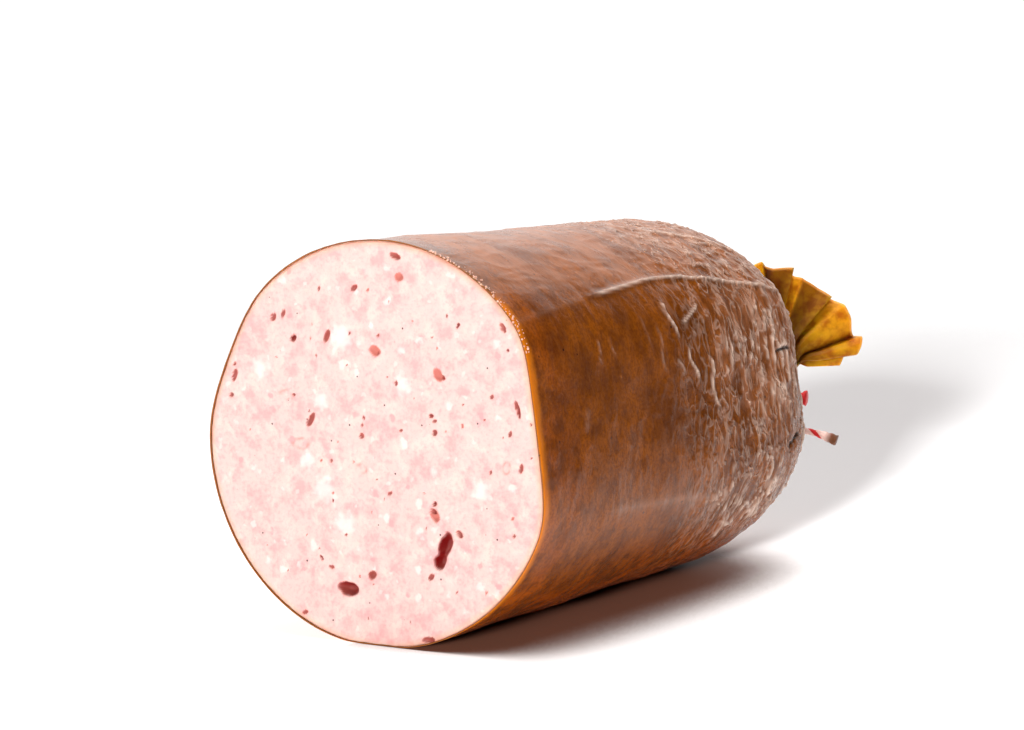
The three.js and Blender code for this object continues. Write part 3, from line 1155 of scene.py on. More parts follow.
# ---------------------------------------------------------------- the casing


@dataclass(frozen=True)
class Fold:
    """A raised fold of the casing: the (along, angle) places that it passes, its height and half width."""

    places: tuple[tuple[float, float], ...]
    height: float
    half_width: float


FOLDS = (
    Fold(((-5, 38), (25, 42), (43, 44)), 0.22, 1.6),
    Fold(((41, 44), (60, 46), (80, 48), (95, 47), (112, 44), (130, 41), (150, 38)), 1.0, 0.7),
    Fold(((76, 41), (74, 36), (76, 31), (78, 26)), 0.8, 0.8),
    Fold(((79, 31), (87, 34), (95, 38)), 0.65, 0.7),
    Fold(((83, 27), (82, 21), (85, 16), (87, 12)), 0.65, 0.8),
    Fold(((91, 23), (94, 18), (93, 12), (94, 6), (98, 2)), 0.7, 0.9),
    Fold(((35, 32), (36, 28), (34, 23)), 0.3, 0.6),
    Fold(((42, 32), (42, 28), (44, 25)), 0.3, 0.6),
    Fold(((74, 22), (78, 18), (76, 15)), 0.4, 0.8),
    Fold(((96, 8), (99, 5), (102, 2)), 0.4, 0.8),
    Fold(((103, -3), (105, -9)), 0.35, 0.7),
    Fold(((26, 13), (24, 7), (23, 4)), 0.25, 1.2),
    Fold(((60, 38), (61, 31), (63, 24)), 0.25, 0.9),
    Fold(((66, 34), (68, 28), (67, 22), (69, 16)), 0.3, 0.9),
    Fold(((30, -20), (70, -22), (87, -24), (110, -26)), 0.25, 3.0),
    Fold(((105, 76), (120, 70), (130, 65), (140, 59), (152, 52)), 0.5, 1.2),
    Fold(((120, 63), (133, 61), (137, 55), (145, 48)), 0.4, 1.0),
)

SLITS = (
    Fold(((133, 18), (141, 19), (150, 19)), -0.9, 0.55),
    Fold(((137, -15), (144, -13), (151, -12)), -0.8, 0.7),
)


@dataclass(frozen=True)
class Sides:
    """How far points belong to the body's near side, top, underside and far side, between 0 and 1."""

    near: np.ndarray
    top: np.ndarray
    under: np.ndarray
    far: np.ndarray

    @classmethod
    def at(cls, angle: np.ndarray) -> "Sides":
        """The shares at some angles, with soft borders between the sides.

        Args:
            angle: angles round the body in degrees.

        Returns:
            The shares.
        """
        near = smoothstep(-48, -22, angle) * smoothstep(52, 40, angle)
        top = smoothstep(40, 55, angle) * smoothstep(150, 110, angle)
        under = smoothstep(-30, -60, angle) * smoothstep(-150, -120, angle)
        return cls(near, top, under, 1 - np.clip(near + top + under, 0, 1))


@dataclass(frozen=True)
class Casing:
    """The smoked skin of the body: a thin closed shell, wrinkled and creased, gathered at the neck."""

    body: Body
    neck: Neck
    finish: SkinFinish = field(default_factory=SkinFinish)
    wall: float = 0.32
    drawn_in: float = 1.7
    columns: int = 384
    rows: int = 222
    neck_rows: int = 6
    pleats: int = 23
    flute_depth: float = 0.35
    crowding: float = 0.42
    crowded_angle: float = 10.0

    def build(self) -> bpy.types.Object:
        """Builds the shell from its inner wall's pole, by the cut edge and the outer wall, to the neck.

        Returns:
            The piece.
        """
        outer, marks = self._outer()
        inner = self._inner()
        rings = np.concatenate([inner, outer])
        rows = len(rings)
        points = np.vstack([rings.reshape(-1, 3), rings[0].mean(0), rings[-1].mean(0)])
        quads = ring_faces(rows, self.columns)
        last = np.arange((rows - 1) * self.columns, rows * self.columns)
        triangles = np.vstack([
            pole_faces(np.arange(self.columns), rows * self.columns, outward=False),
            pole_faces(last, rows * self.columns + 1, outward=True),
        ])
        blank = np.zeros((len(inner), self.columns))
        marks = {name: np.append(np.concatenate([blank, values]).ravel(), [0, 0])
                 for name, values in marks.items()}
        piece = mesh_object("casing_skin", points, quads, triangles, marks)
        settle(piece, self.finish.material(), "casing", "casing")
        return piece

    def _inner(self) -> np.ndarray:
        """Rings of the inner wall, from the closed end back to the cut.

        Returns:
            One ring in a row.
        """
        share = np.concatenate([np.linspace(1, 0.68, 12), [0.5, 0.3, 0.1, 0.04, 0.015, 0]])
        along, radius = self.body.profile(share)
        inset = self.wall + self.drawn_in * smoothstep(0, DRAWN_IN_BY, along[:, None])
        return self.body.surface(along[:, None], radius[:, None], self._angles(np.zeros(1)), inset)

    def _angles(self, share: np.ndarray) -> np.ndarray:
        """Each ring's angles, closer together on the side that has the large folds, and even at the neck.

        angle = even - crowding * sin(even - crowded angle), where the crowding fades over the closing end.

        Args:
            share: each ring's share of the profile's length.

        Returns:
            Angles in degrees, one ring in a row.
        """
        even = self.body.angles(self.columns)[None]
        crowding = np.degrees(self.crowding) * smoothstep(0.97, 0.75, share)[:, None]
        return even - crowding * np.sin(np.radians(even - self.crowded_angle))

    def _outer(self) -> tuple[np.ndarray, dict[str, np.ndarray]]:
        """The outer wall, and the neck under the string.

        Returns:
            One ring in a row, and the marks that colour the points.
        """
        share = np.linspace(0, 1, self.rows)
        along, radius = self.body.profile(share)
        angle = self._angles(share)
        along, radius = along[:, None], radius[:, None]
        rings = self.body.surface(along, radius, angle)
        height, marks = self._relief(rings, np.broadcast_to(along, rings.shape[:2]), radius, wrap(angle))
        rings = rings + surface_normals(rings) * height[..., None]
        rings[..., 2] = np.maximum(rings[..., 2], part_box("casing")[0].z / MM)

        distance = np.linspace(0, self.neck.middle, self.neck_rows + 1)[1:]
        turn = 2 * np.pi * np.arange(self.columns) / self.columns
        flutes = self.body.neck_radius + self.flute_depth * np.cos(self.pleats * turn)
        rings = np.concatenate([rings, self.neck.ring(self.body, distance, self.columns, flutes)])
        marks = {name: np.concatenate([values, np.repeat(values[-1:], self.neck_rows, axis=0)])
                 for name, values in marks.items()}
        return rings, marks

    def _relief(self, rings: np.ndarray, along: np.ndarray, radius: np.ndarray,
                angle: np.ndarray) -> tuple[np.ndarray, dict[str, np.ndarray]]:
        """How far the skin stands out of the smooth body, and the marks: painted highlights on its ridges,
        painted shade in its valleys and slits, a waxy film with painted sheen, and warm orange.

        Args:
            rings: the smooth body's points.
            along: distances from the cut.
            radius: the share of the full radius.
            angle: angles round the body in degrees.

        Returns:
            The height in millimetres, and the marks by name.
        """
        bend = np.stack([lattice_noise(rings / 9, seed) for seed in (21, 22, 23)], axis=-1)
        sides = Sides.at(angle)
        wrinkle = self._wrinkles(rings, along, bend, sides)
        lumps = 0.45 * lattice_noise(rings / 24, seed=35) + 0.16 * lattice_noise(rings / 8, seed=36)
        gather, valley_shade = self._gathers(np.broadcast_to(radius, along.shape), angle, bend[..., 0])
        height = lumps + wrinkle - 0.2
        height += gather
        # Painted highlight on the ridges of wrinkles and folds, partly waxy.
        ridge_highlight = 0.8 * smoothstep(0.3, 0.85, wrinkle)
        for item in FOLDS:
            shape = self._along_fold(item, along, angle)
            height = height + item.height * shape
            shown = smoothstep(0.15, 0.7, item.height)
            ridge_highlight = np.maximum(ridge_highlight, shown * shape ** 3)
            # Painted shade along both sides of each fold.
            beside = 1.5 * shape * (1 - shape) * smoothstep(0.7, 0.35, shape)
            valley_shade = np.maximum(valley_shade, shown * beside)
        for item in SLITS:
            shape = self._along_fold(item, along, angle)
            height = height + item.height * shape
            # Painted shade in the slits.
            valley_shade = np.maximum(valley_shade, shape)
        height *= smoothstep(-4, 7, along) * 0.85 + 0.15
        return height, {"ridge_highlight": ridge_highlight, "valley_shade": valley_shade, **self._tints(rings, along, angle, sides)}

    @staticmethod
    def _wrinkles(rings: np.ndarray, along: np.ndarray, bend: np.ndarray, sides: Sides) -> np.ndarray:
        """Fine wrinkles: across the near side, lengthwise on the top, and a net near the tied end.

        Args:
            rings: the smooth body's points.
            along: distances from the cut.
            bend: three noises that sway the wrinkles.
            sides: the side that each point belongs to.

        Returns:
            The wrinkles' height in millimetres.
        """
        x, y, z = np.moveaxis(rings, -1, 0)
        across = np.stack([x / 12, y / 3.4, z / 12], axis=-1) + 0.35 * bend
        lengthwise = np.stack([x / 4.2, y / 15, z / 4.2], axis=-1) + 0.35 * bend
        net = np.stack([x / 7, y / 5, z / 7], axis=-1) + 0.5 * bend
        tied = smoothstep(55, 125, along)
        patchy = 0.45 + 0.55 * smoothstep(-0.25, 0.35, lattice_noise(rings / 16, seed=30))
        wrinkle = crests(across, 31, 4.0) * (0.16 + 0.6 * tied) * (sides.near + sides.far) * patchy
        wrinkle += crests(lengthwise, 32, 3.0) * (0.22 + 0.3 * tied) * (sides.top + 0.5 * sides.far) * patchy
        wrinkle += crests(net, 33, 4.0) * 0.36 * tied * (1 - 0.65 * sides.under)
        wrinkle += 0.10 * crests(net, 34, 2.0) * sides.under
        return wrinkle

    def _gathers(self, radius: np.ndarray, angle: np.ndarray,
                 bend: np.ndarray) -> tuple[np.ndarray, np.ndarray]:
        """Pleats that run into the neck: |cos(pleats * angle / 2)|, swayed away from the neck.

        Args:
            radius: the share of the full radius.
            angle: angles round the body in degrees.
            bend: noise that sways them.

        Returns:
            The height in millimetres, and how deep each point lies in a valley.
        """
        closing = smoothstep(0.85, 0.2, radius)
        turn = np.radians(self.body.front_angle + 90 - angle)
        phase = self.pleats * turn + 1.2 * bend * smoothstep(0.1, 0.5, radius)
        fold = np.abs(np.cos(phase / 2))
        height = 1.3 * closing * smoothstep(0.0, 0.35, radius - 0.09) * (fold - 0.6)
        return height, closing * smoothstep(0.35, 0.0, fold)

    @staticmethod
    def _tints(rings: np.ndarray, along: np.ndarray, angle: np.ndarray,
               sides: Sides) -> dict[str, np.ndarray]:
        """Where the casing has a waxy film with a painted sheen, is crinkled, and is warm orange.

        Args:
            rings: the smooth body's points.
            along: distances from the cut.
            angle: angles round the body in degrees.
            sides: the side that each point belongs to.

        Returns:
            The marks by name.
        """
        # Painted sheen over a waxy film: lighter where the lower near side, the tied end and the top reflect
        # light, less underneath.
        below = smoothstep(10, -12, angle - (0.58 * along - 16))
        ragged = along + 16 * lattice_noise(rings / 13, seed=37)
        low_side = 0.24 * below * sides.near * smoothstep(6, 26, along)
        tied_end = (0.9 - 0.65 * smoothstep(12, -16, angle) * sides.near) * smoothstep(72, 128, ragged)
        film_and_sheen = np.maximum(low_side, tied_end)
        film_and_sheen = np.maximum(film_and_sheen, 0.9 * sides.top * smoothstep(0, 20, along))
        film_and_sheen = np.maximum(film_and_sheen, 0.4 * sides.far) * (1 - 0.85 * sides.under) * (1 - 0.3 * sides.far)
        warm = sides.under + 0.35 * (sides.near + sides.far) * smoothstep(30, 0, along)
        crinkled = (0.04 + 0.96 * smoothstep(65, 110, along)) * (1 - 0.7 * sides.under)
        return {"film_and_sheen": np.clip(film_and_sheen, 0, 1), "crinkled": crinkled,
                "warm": np.broadcast_to(np.clip(warm, 0, 1), along.shape)}

    def _along_fold(self, item: Fold, along: np.ndarray, angle: np.ndarray) -> np.ndarray:
        """A fold's shape between 0 and 1: exp(-(distance / half width)^1.3) off its line, fading at its ends.

        Args:
            item: the fold.
            along: distances from the cut.
            angle: angles round the body in degrees.

        Returns:
            The shape at each point.
        """
        margin = 8.0  # further off the line than this, a fold does nothing
        line = curve_through(np.array(item.places, float), 6)
        line[:, 1] = np.radians(line[:, 1]) * self.body.radius
        across = np.broadcast_to(np.radians(angle) * self.body.radius, along.shape)
        low, high = line.min(0) - margin, line.max(0) + margin
        near = (along > low[0]) & (along < high[0]) & (across > low[1]) & (across < high[1])
        rows, columns = np.nonzero(near)
        places = np.stack([along[rows, columns], across[rows, columns]], axis=-1)
        best = np.full(len(places), np.inf)
        for start, end in zip(line, line[1:]):
            step = end - start
            share = np.clip((places - start) @ step / (step @ step), 0, 1)
            best = np.minimum(best, np.linalg.norm(places - start - share[:, None] * step, axis=-1))
        ends = np.minimum(*(np.linalg.norm(places - tip, axis=-1) for tip in line[[0, -1]]))
        fade = min(margin, 0.25 * np.linalg.norm(np.diff(line, axis=0), axis=-1).sum())
        strength = 0.15 + 0.85 * smoothstep(0, fade, ends)
        shape = np.zeros(along.shape)
        shape[rows, columns] = np.exp(-((best / item.half_width) ** 1.3)) * strength
        return shape


# ---------------------------------------------------------------- the tail


@dataclass(frozen=True)
class Pleat:
    """A fold line of the tail: its angle in the fan, its lift off the plane, its length and its painted
    shade.
    """

    angle: float
    lift: float
    reach: float
    layers: float


FRONT_PLEATS = (
    Pleat(-54, -2.6, 30.0, 0.4), Pleat(-49, -1.2, 31.0, 0.3), Pleat(-45, 2.0, 31.6, 0.0),
    Pleat(-41, 1.2, 32.3, 0.0), Pleat(-38, -2.2, 31.3, 1.0), Pleat(-34, -1.2, 30.5, 0.8),
    Pleat(-28, 1.2, 30.8, 0.8), Pleat(-23, 2.6, 31.1, 0.4), Pleat(-26.5, -0.6, 30.2, 1.0),
    Pleat(-21.5, -0.5, 29.1, 0.1), Pleat(-17, 1.2, 29.1, 0.0), Pleat(-14.5, 0.1, 29.0, 0.75),
    Pleat(-5, -0.9, 28.9, 0.7), Pleat(4.6, 1.9, 28.6, 0.45), Pleat(1, -1.3, 28.2, 1.0),
    Pleat(6.5, -0.9, 28.8, 0.35), Pleat(13, 2.4, 29.5, 0.0), Pleat(21, 2.8, 28.6, 0.1),
    Pleat(28, 0.4, 27.4, 0.35), Pleat(31.5, -1.4, 27.6, 1.0), Pleat(34, 1.2, 29.6, 0.1),
    Pleat(39, 2.6, 28.2, 0.15), Pleat(44, 2.2, 26.6, 0.35), Pleat(44.5, 0.4, 26.2, 0.5),
)

BACK_PLEATS = (
    Pleat(37, -2.2, 25.0, 1.0), Pleat(44, -2.2, 23.0, 0.2), Pleat(50, -2.8, 21.7, 0.0),
    Pleat(49, -4.0, 21.9, 0.3), Pleat(36, -5.0, 25.0, 0.5),
    Pleat(26, -3.0, 28.0, 0.2), Pleat(16, -5.2, 29.0, 0.5), Pleat(5, -3.2, 29.0, 0.2),
    Pleat(-6, -5.4, 28.6, 0.5), Pleat(-17, -3.3, 29.0, 0.2), Pleat(-28, -5.6, 30.0, 0.5),
    Pleat(-38, -3.6, 30.5, 0.3), Pleat(-47, -5.4, 30.5, 0.4), Pleat(-53, -4.2, 30.0, 0.4),
)


@dataclass(frozen=True)
class Tail:
    """The casing's free end: a thin tube pressed into a pleated fan, whose root runs under the string."""

    body: Body
    neck: Neck
    finish: TailFinish = field(default_factory=TailFinish)
    direction: tuple[float, float, float] = (0.38, 0.52, 0.77)
    facing: tuple[float, float, float] = (0.59, -0.78, 0.23)
    length: float = 30.0
    opens_by: float = 0.55
    wall: float = 0.28
    half_columns: int = 150
    rows: int = 44
    lead_rings: int = 5

    def build(self) -> bpy.types.Object:
        """Builds the tube as one surface, and Solidify gives it its wall.

        Returns:
            The piece.
        """
        columns = 2 * self.half_columns
        turn = 2 * np.pi * np.arange(columns) / columns
        share = np.linspace(0, 1, self.rows)[:, None, None]
        opened = smoothstep(0, self.opens_by, share)
        gathered = self.body.neck_radius * (1 - 0.12 * np.abs(np.sin(11 * turn)))
        angle, lift, reach, layers = (item[None, :, None] for item in self._pleat_lines())
        rings = (self._tube(share, opened, turn, gathered) * (1 - opened)
                 + self._fan(share, angle, lift, reach) * opened)
        under_string = np.linspace(self.neck.lead + 2.5, self.neck.end, self.lead_rings + 1)[:-1]
        lead_in = self.neck.ring(self.body, under_string, columns, gathered - 0.15)
        rings = np.concatenate([lead_in, rings])
        shares = np.broadcast_to(share[..., 0], (self.rows, columns))
        shares = np.concatenate([np.zeros((self.lead_rings, columns)), shares])
        # The pleats' painted shade, fading out towards the root.
        depth = np.broadcast_to(layers[..., 0], shares.shape) * np.clip(shares * 2.5, 0, 1)
        none = np.empty((0, 3), int)
        piece = mesh_object("casing_tail", rings.reshape(-1, 3), ring_faces(len(rings), columns), none,
                            {"layers": depth, "outward": shares})
        wall = piece.modifiers.new("wall", "SOLIDIFY")
        wall.thickness = self.wall * MM
        wall.offset = -1
        settle(piece, self.finish.material(), "casing", "casing")
        return piece

    @property
    def _fan_frame(self) -> tuple[np.ndarray, np.ndarray]:
        """The way the fan points, and the way that it faces, square to it."""
        axis, facing = unit(np.array(self.direction)), np.array(self.facing)
        return axis, unit(facing - axis * (facing @ axis))

    @property
    def _root(self) -> np.ndarray:
        """The middle of the fan's root."""
        return self.neck.at(self.body, self.neck.end)

    def _tube(self, share: np.ndarray, opened: np.ndarray, turn: np.ndarray,
              radius: np.ndarray) -> np.ndarray:
        """The round tube that the tail starts as, which leans over from the neck's way to the fan's.

        Args:
            share: the share of the tail's length.
            opened: how far it has opened there.
            turn: angles round the tube.
            radius: the tube's radius at each of them.

        Returns:
            One ring in a row.
        """
        front, _, along = self.neck.frame(self.body)
        axis, facing = self._fan_frame
        lean = unit(along * (1 - opened) + axis * opened)
        lean_front = front * (1 - opened) + facing * opened
        lean_front = unit(lean_front - lean * (lean_front * lean).sum(-1, keepdims=True))
        round_it = (np.sin(turn)[None, :, None] * lean_front
                    - np.cos(turn)[None, :, None] * np.cross(lean, lean_front))
        return self._root + lean * self.length * share + radius[None, :, None] * round_it

    def _fan(self, share: np.ndarray, angle: np.ndarray, lift: np.ndarray, reach: np.ndarray) -> np.ndarray:
        """The flat fan that the tail opens into, pleated and a little crinkled.

        Args:
            share: the share of the tail's length.
            angle: each column's angle in the fan, in degrees.
            lift: its lift off the fan's plane at the free edge.
            reach: its length.

        Returns:
            One ring in a row.
        """
        axis, facing = self._fan_frame
        out = reach * share
        spread = np.radians(angle)
        places = np.concatenate(np.broadcast_arrays(out / 5, angle / 7, np.zeros_like(out)), axis=-1)
        crinkle = 0.25 * lattice_noise(places, seed=41)[..., None]
        return (self._root + axis * out * np.cos(spread) + np.cross(axis, facing) * out * np.sin(spread)
                + facing * (lift * share**0.8 + crinkle * share))

    def _pleat_lines(self) -> np.ndarray:
        """The pleats at every column, rounded a little at each fold.

        Returns:
            Four rows: the columns' angle, lift, reach and painted shade.
        """
        halves = []
        loop = [*FRONT_PLEATS, *BACK_PLEATS, FRONT_PLEATS[0]]
        values = np.array([(item.angle, item.lift, item.reach, item.layers) for item in loop])
        split = len(FRONT_PLEATS)
        for part in (values[:split], values[split - 1:]):
            place = np.stack([np.radians(part[:, 0]) * part[:, 2], part[:, 1]], axis=-1)
            lengths = np.linalg.norm(np.diff(place, axis=0), axis=-1) + 0.6
            walked = np.append(0, np.cumsum(lengths))
            steps = np.linspace(0, walked[-1], self.half_columns, endpoint=False)
            halves.append(np.stack([np.interp(steps, walked, part[:, item]) for item in range(4)]))
        lines = np.concatenate(halves, axis=1)
        kernel = np.array([1, 2, 1]) / 4
        return sum(weight * np.roll(lines, shift, axis=1) for weight, shift in zip(kernel, (-1, 0, 1)))


# ---------------------------------------------------------------- the string


@dataclass(frozen=True)
class Strand:
    """A length of string: its rings, the middles of its two tips, whether it is closed, and its marks."""

    rings: np.ndarray
    tips: np.ndarray
    closed: bool
    red: np.ndarray
    stain: np.ndarray

    def faces(self, first: int) -> tuple[np.ndarray, np.ndarray]:
        """The strand's faces.

        Args:
            first: the number of its first point.

        Returns:
            The four-sided faces, and the triangles at its tips.
        """
        rows, sides = self.rings.shape[:2]
        start = first + np.arange(sides)
        last = start + (rows - 1) * sides
        quads = ring_faces(rows, sides, first)
        if self.closed:
            joint = np.stack([last, np.roll(last, -1), np.roll(start, -1), start], axis=-1)
            return np.vstack([joint, quads]), np.empty((0, 3), int)
        pole = first + rows * sides
        return quads, np.vstack([pole_faces(start, pole, outward=False),
                                 pole_faces(last, pole + 1, outward=True)])


@dataclass(frozen=True)
class TieString:
    """Butcher's string of three twisted strands: turns round the neck, a knot, and two cut ends."""

    body: Body
    neck: Neck
    finish: StringFinish = field(default_factory=StringFinish)
    diameter: float = 2.2
    turns: int = 3
    gap: float = 0.1
    clearance: float = 0.3
    knot_angle: float = 77.0
    knot_radius: float = 2.4
    twist_length: float = 6.5
    sides: int = 18
    short_end: tuple = ((0, 0, 0), (1.8, 3.2, 2), (3.5, 6.3, 4), (4.8, 7.9, 5.3))
    long_end: tuple = ((0, 0, 0), (-2.3, 4.7, 0.2), (-2.9, 9, 0.9), (-2.8, 12.1, 2), (-1.2, 15, 3.4),
                       (1.2, 18.7, 5.7), (3.1, 22.8, 8.1))

    def build(self) -> bpy.types.Object:
        """Builds the turns, the knot and both ends as twisted strands, in one mesh.

        Returns:
            The piece.
        """
        turn = math.radians(self.knot_angle)
        off_axis = self.body.neck_radius + self.clearance + self.knot_radius
        knot = off_axis * np.array([math.cos(turn), math.sin(turn), 0])
        short_line = curve_through(np.array(self.short_end) + knot, 10)
        long_line = curve_through(np.array(self.long_end) + knot, 12)
        radius = self.diameter / 2
        points, quads, triangles, red, stain = [], [], [], [], []
        first = 0
        for part in (
            self._strand(self._turns(), radius, 1.0, 0.35, 0.0),
            self._strand(self._knot() + knot, radius * 0.9, 1.0, 0.4, 0.0, closed=True),
            self._strand(short_line, radius * 1.1, 1.9, 1.0, 0.0),
            self._strand(long_line, radius * 0.86, 1.7, 0.45, 1.0),
        ):
            part_quads, part_triangles = part.faces(first)
            points += [part.rings.reshape(-1, 3), part.tips]
            quads.append(part_quads)
            triangles.append(part_triangles)
            red += [part.red.ravel(), np.full(len(part.tips), part.red.mean())]
            stain += [part.stain.ravel(), part.stain[[0, -1], 0][: len(part.tips)]]
            first += part.red.size + len(part.tips)
        turned = np.vstack(points) @ np.stack(self.neck.frame(self.body))
        turned += self.neck.at(self.body, self.neck.middle)
        piece = mesh_object("tied_string", turned, np.vstack(quads), np.vstack(triangles),
                            {"red": np.concatenate(red), "stain": np.concatenate(stain)})
        settle(piece, self.finish.material(), "tie_string", "tie_string")
        return piece

    def _turns(self) -> np.ndarray:
        """A helix round the neck that starts and ends at the knot.

        Returns:
            The points of the string's middle.
        """
        steps_per_turn = 100
        share = np.linspace(0, 1, self.turns * steps_per_turn)
        angle = math.radians(self.knot_angle) + 2 * np.pi * self.turns * share
        radius = self.body.neck_radius + self.clearance + self.diameter / 2
        rise = self.turns * (self.diameter + self.gap) * (share - 0.5)
        return np.stack([radius * np.cos(angle), radius * np.sin(angle), rise], axis=-1)

    def _knot(self) -> np.ndarray:
        """A small overhand knot: a trefoil, (-sin 3t, cos t - 2 cos 2t, sin t + 2 sin 2t), drawn tight.

        Returns:
            The points of the string's middle.
        """
        t = np.linspace(0, 2 * np.pi, 120, endpoint=False)
        loop = np.stack([-np.sin(3 * t), np.cos(t) - 2 * np.cos(2 * t), np.sin(t) + 2 * np.sin(2 * t)],
                        axis=-1)
        return loop * (np.array([1.3, 0.75, 1.15]) * self.knot_radius / 2.9)

    def _strand(self, line: np.ndarray, radius: float, flare: float, red: float, stain: float,
                closed: bool = False) -> Strand:
        """A string along a line: a round section with three lobes that turn once in a twist's length.

        Args:
            line: the points of its middle.
            radius: its radius at the start.
            flare: how many times wider its last quarter ends.
            red: the share of its strands that is red.
            stain: how brown its tip is.
            closed: whether its ends meet.

        Returns:
            The strand.
        """
        round_trip = np.roll(line, -1, axis=0) - np.roll(line, 1, axis=0)
        ahead = unit(round_trip if closed else np.gradient(line, axis=0))
        normal = np.cross(ahead[0], [0.3, 0.2, 0.9])
        normals = []
        for direction in ahead:
            normal = unit(normal - direction * (normal @ direction))
            normals.append(normal)
        normals = np.array(normals)
        beside = np.cross(ahead, normals)
        walked = np.append(0, np.cumsum(np.linalg.norm(np.diff(line, axis=0), axis=-1)))
        turn = 2 * np.pi * np.arange(self.sides) / self.sides
        twist = 2 * np.pi * walked / self.twist_length
        if closed:
            twist = 2 * np.pi * round(walked[-1] / self.twist_length) * np.arange(len(line)) / len(line)
        lobe = 1.5 * (turn[None] - twist[:, None])
        share = walked / walked[-1]
        widen = 1 + (flare - 1) * smoothstep(0.7, 1.0, share)
        size = radius * (0.82 + 0.22 * np.abs(np.cos(lobe)) ** 0.7) * widen[:, None]
        rings = line[:, None] + size[..., None] * (
            np.cos(turn)[None, :, None] * normals[:, None] + np.sin(turn)[None, :, None] * beside[:, None])
        strand = np.floor((lobe / np.pi + 0.5) % 3)
        first_strand = np.where(strand == 0, 1.0, 0.0) * min(1.0, red * 3)
        other_strands = (strand != 0) * max(0.0, red * 1.5 - 0.5)
        stained = stain * smoothstep(0.84, 0.95, share)[:, None] * np.ones(self.sides)
        tips = np.empty((0, 3)) if closed else line[[0, -1]]
        return Strand(rings, tips, closed, first_strand + other_strands, stained)


# ---------------------------------------------------------------- crumbs of fat


@dataclass(frozen=True)
class Crumbs:
    """Crumbs of fat that the knife left on the casing, close to the cut."""

    body: Body
    count: int = 110
    rows: int = 5
    sides: int = 8
    seed: int = 7

    def build(self, material: bpy.types.Material) -> bpy.types.Object:
        """Builds each crumb as a small uneven ball of a few rings, all in one mesh.

        Args:
            material: the meat's own.

        Returns:
            The piece.
        """
        rng = np.random.default_rng(self.seed)
        angle = rng.uniform(30, 72, self.count)
        along = 0.1 + 2.4 * rng.random(self.count) ** 2
        size = 0.1 + 0.26 * rng.random(self.count) ** 3
        centres = self.body.surface(along, np.ones(self.count), angle)
        down = np.linspace(0, np.pi, self.rows + 2)[1:-1]
        turn = 2 * np.pi * np.arange(self.sides) / self.sides
        ball = np.stack([np.outer(np.sin(down), np.cos(turn)), np.outer(np.sin(down), np.sin(turn)),
                         np.outer(np.cos(down), np.ones(self.sides))], axis=-1)
        sizes = size[:, None, None, None]
        squashed = rng.uniform(0.7, 1.3, (self.count, 1, 1, 3))
        rings = centres[:, None, None] + sizes * ball * squashed
        rings += 0.12 * sizes * rng.normal(size=rings.shape)
        up = size[:, None] * [0, 0, 1]
        points = np.vstack([rings.reshape(-1, 3), centres + up, centres - up])

        per_ball = self.rows * self.sides
        ring = np.arange(self.sides)
        starts = np.arange(self.count) * per_ball
        tops = self.count * per_ball + np.arange(self.count)
        quads = np.concatenate([ring_faces(self.rows, self.sides, first)[:, ::-1] for first in starts])
        triangles = np.concatenate([
            np.vstack([pole_faces(first + ring, top, outward=True),
                       pole_faces(first + per_ball - self.sides + ring, top + self.count, outward=False)])
            for first, top in zip(starts, tops)])
        marks = {name: np.full(len(points), value) for name, value in
                 (("pocket", 0.0), ("pocket_shade", 0.0), ("fat", 0.1), ("rim", 0.0))}
        piece = mesh_object("fat_crumbs", points, quads, triangles, marks)
        settle(piece, material, "meat")
        return piece


# ---------------------------------------------------------------- the studio


class Lit(Enum):
    """What a light falls on."""

    ALL = "all"
    FLOOR = "floor"
    SAUSAGE = "sausage"


@dataclass(frozen=True)
class Softbox:
    """A rectangular studio light: where it stands, what it points at, its size, brightness and colour."""

    name: str
    place: tuple[float, float, float]
    target: tuple[float, float, float]
    size: tuple[float, float]
    watts: float
    colour: tuple[float, float, float] = (1.0, 1.0, 1.0)
    lit: Lit = Lit.ALL

    def build(self, pieces: dict[Lit, list[bpy.types.Object]]) -> bpy.types.Object:
        """Adds the light, and limits it to the pieces that it lights, if it doesn't light them all.

        Args:
            pieces: the pieces that limited lights fall on.

        Returns:
            The light.
        """
        light = bpy.data.lights.new(self.name, "AREA")
        light.shape = "RECTANGLE"
        light.size, light.size_y = self.size
        light.energy = self.watts
        light.color = self.colour
        piece = bpy.data.objects.new(self.name, light)
        piece.location = self.place
        aim = Vector(self.target) - Vector(self.place)
        piece.rotation_euler = aim.to_track_quat("-Z", "Y").to_euler()
        piece.visible_camera = False
        bpy.context.scene.collection.objects.link(piece)
        if self.lit is not Lit.ALL:
            receivers = bpy.data.collections.new(f"{self.name}_lights")
            for one in pieces[self.lit]:
                receivers.objects.link(one)
            piece.light_linking.receiver_collection = receivers
        return piece


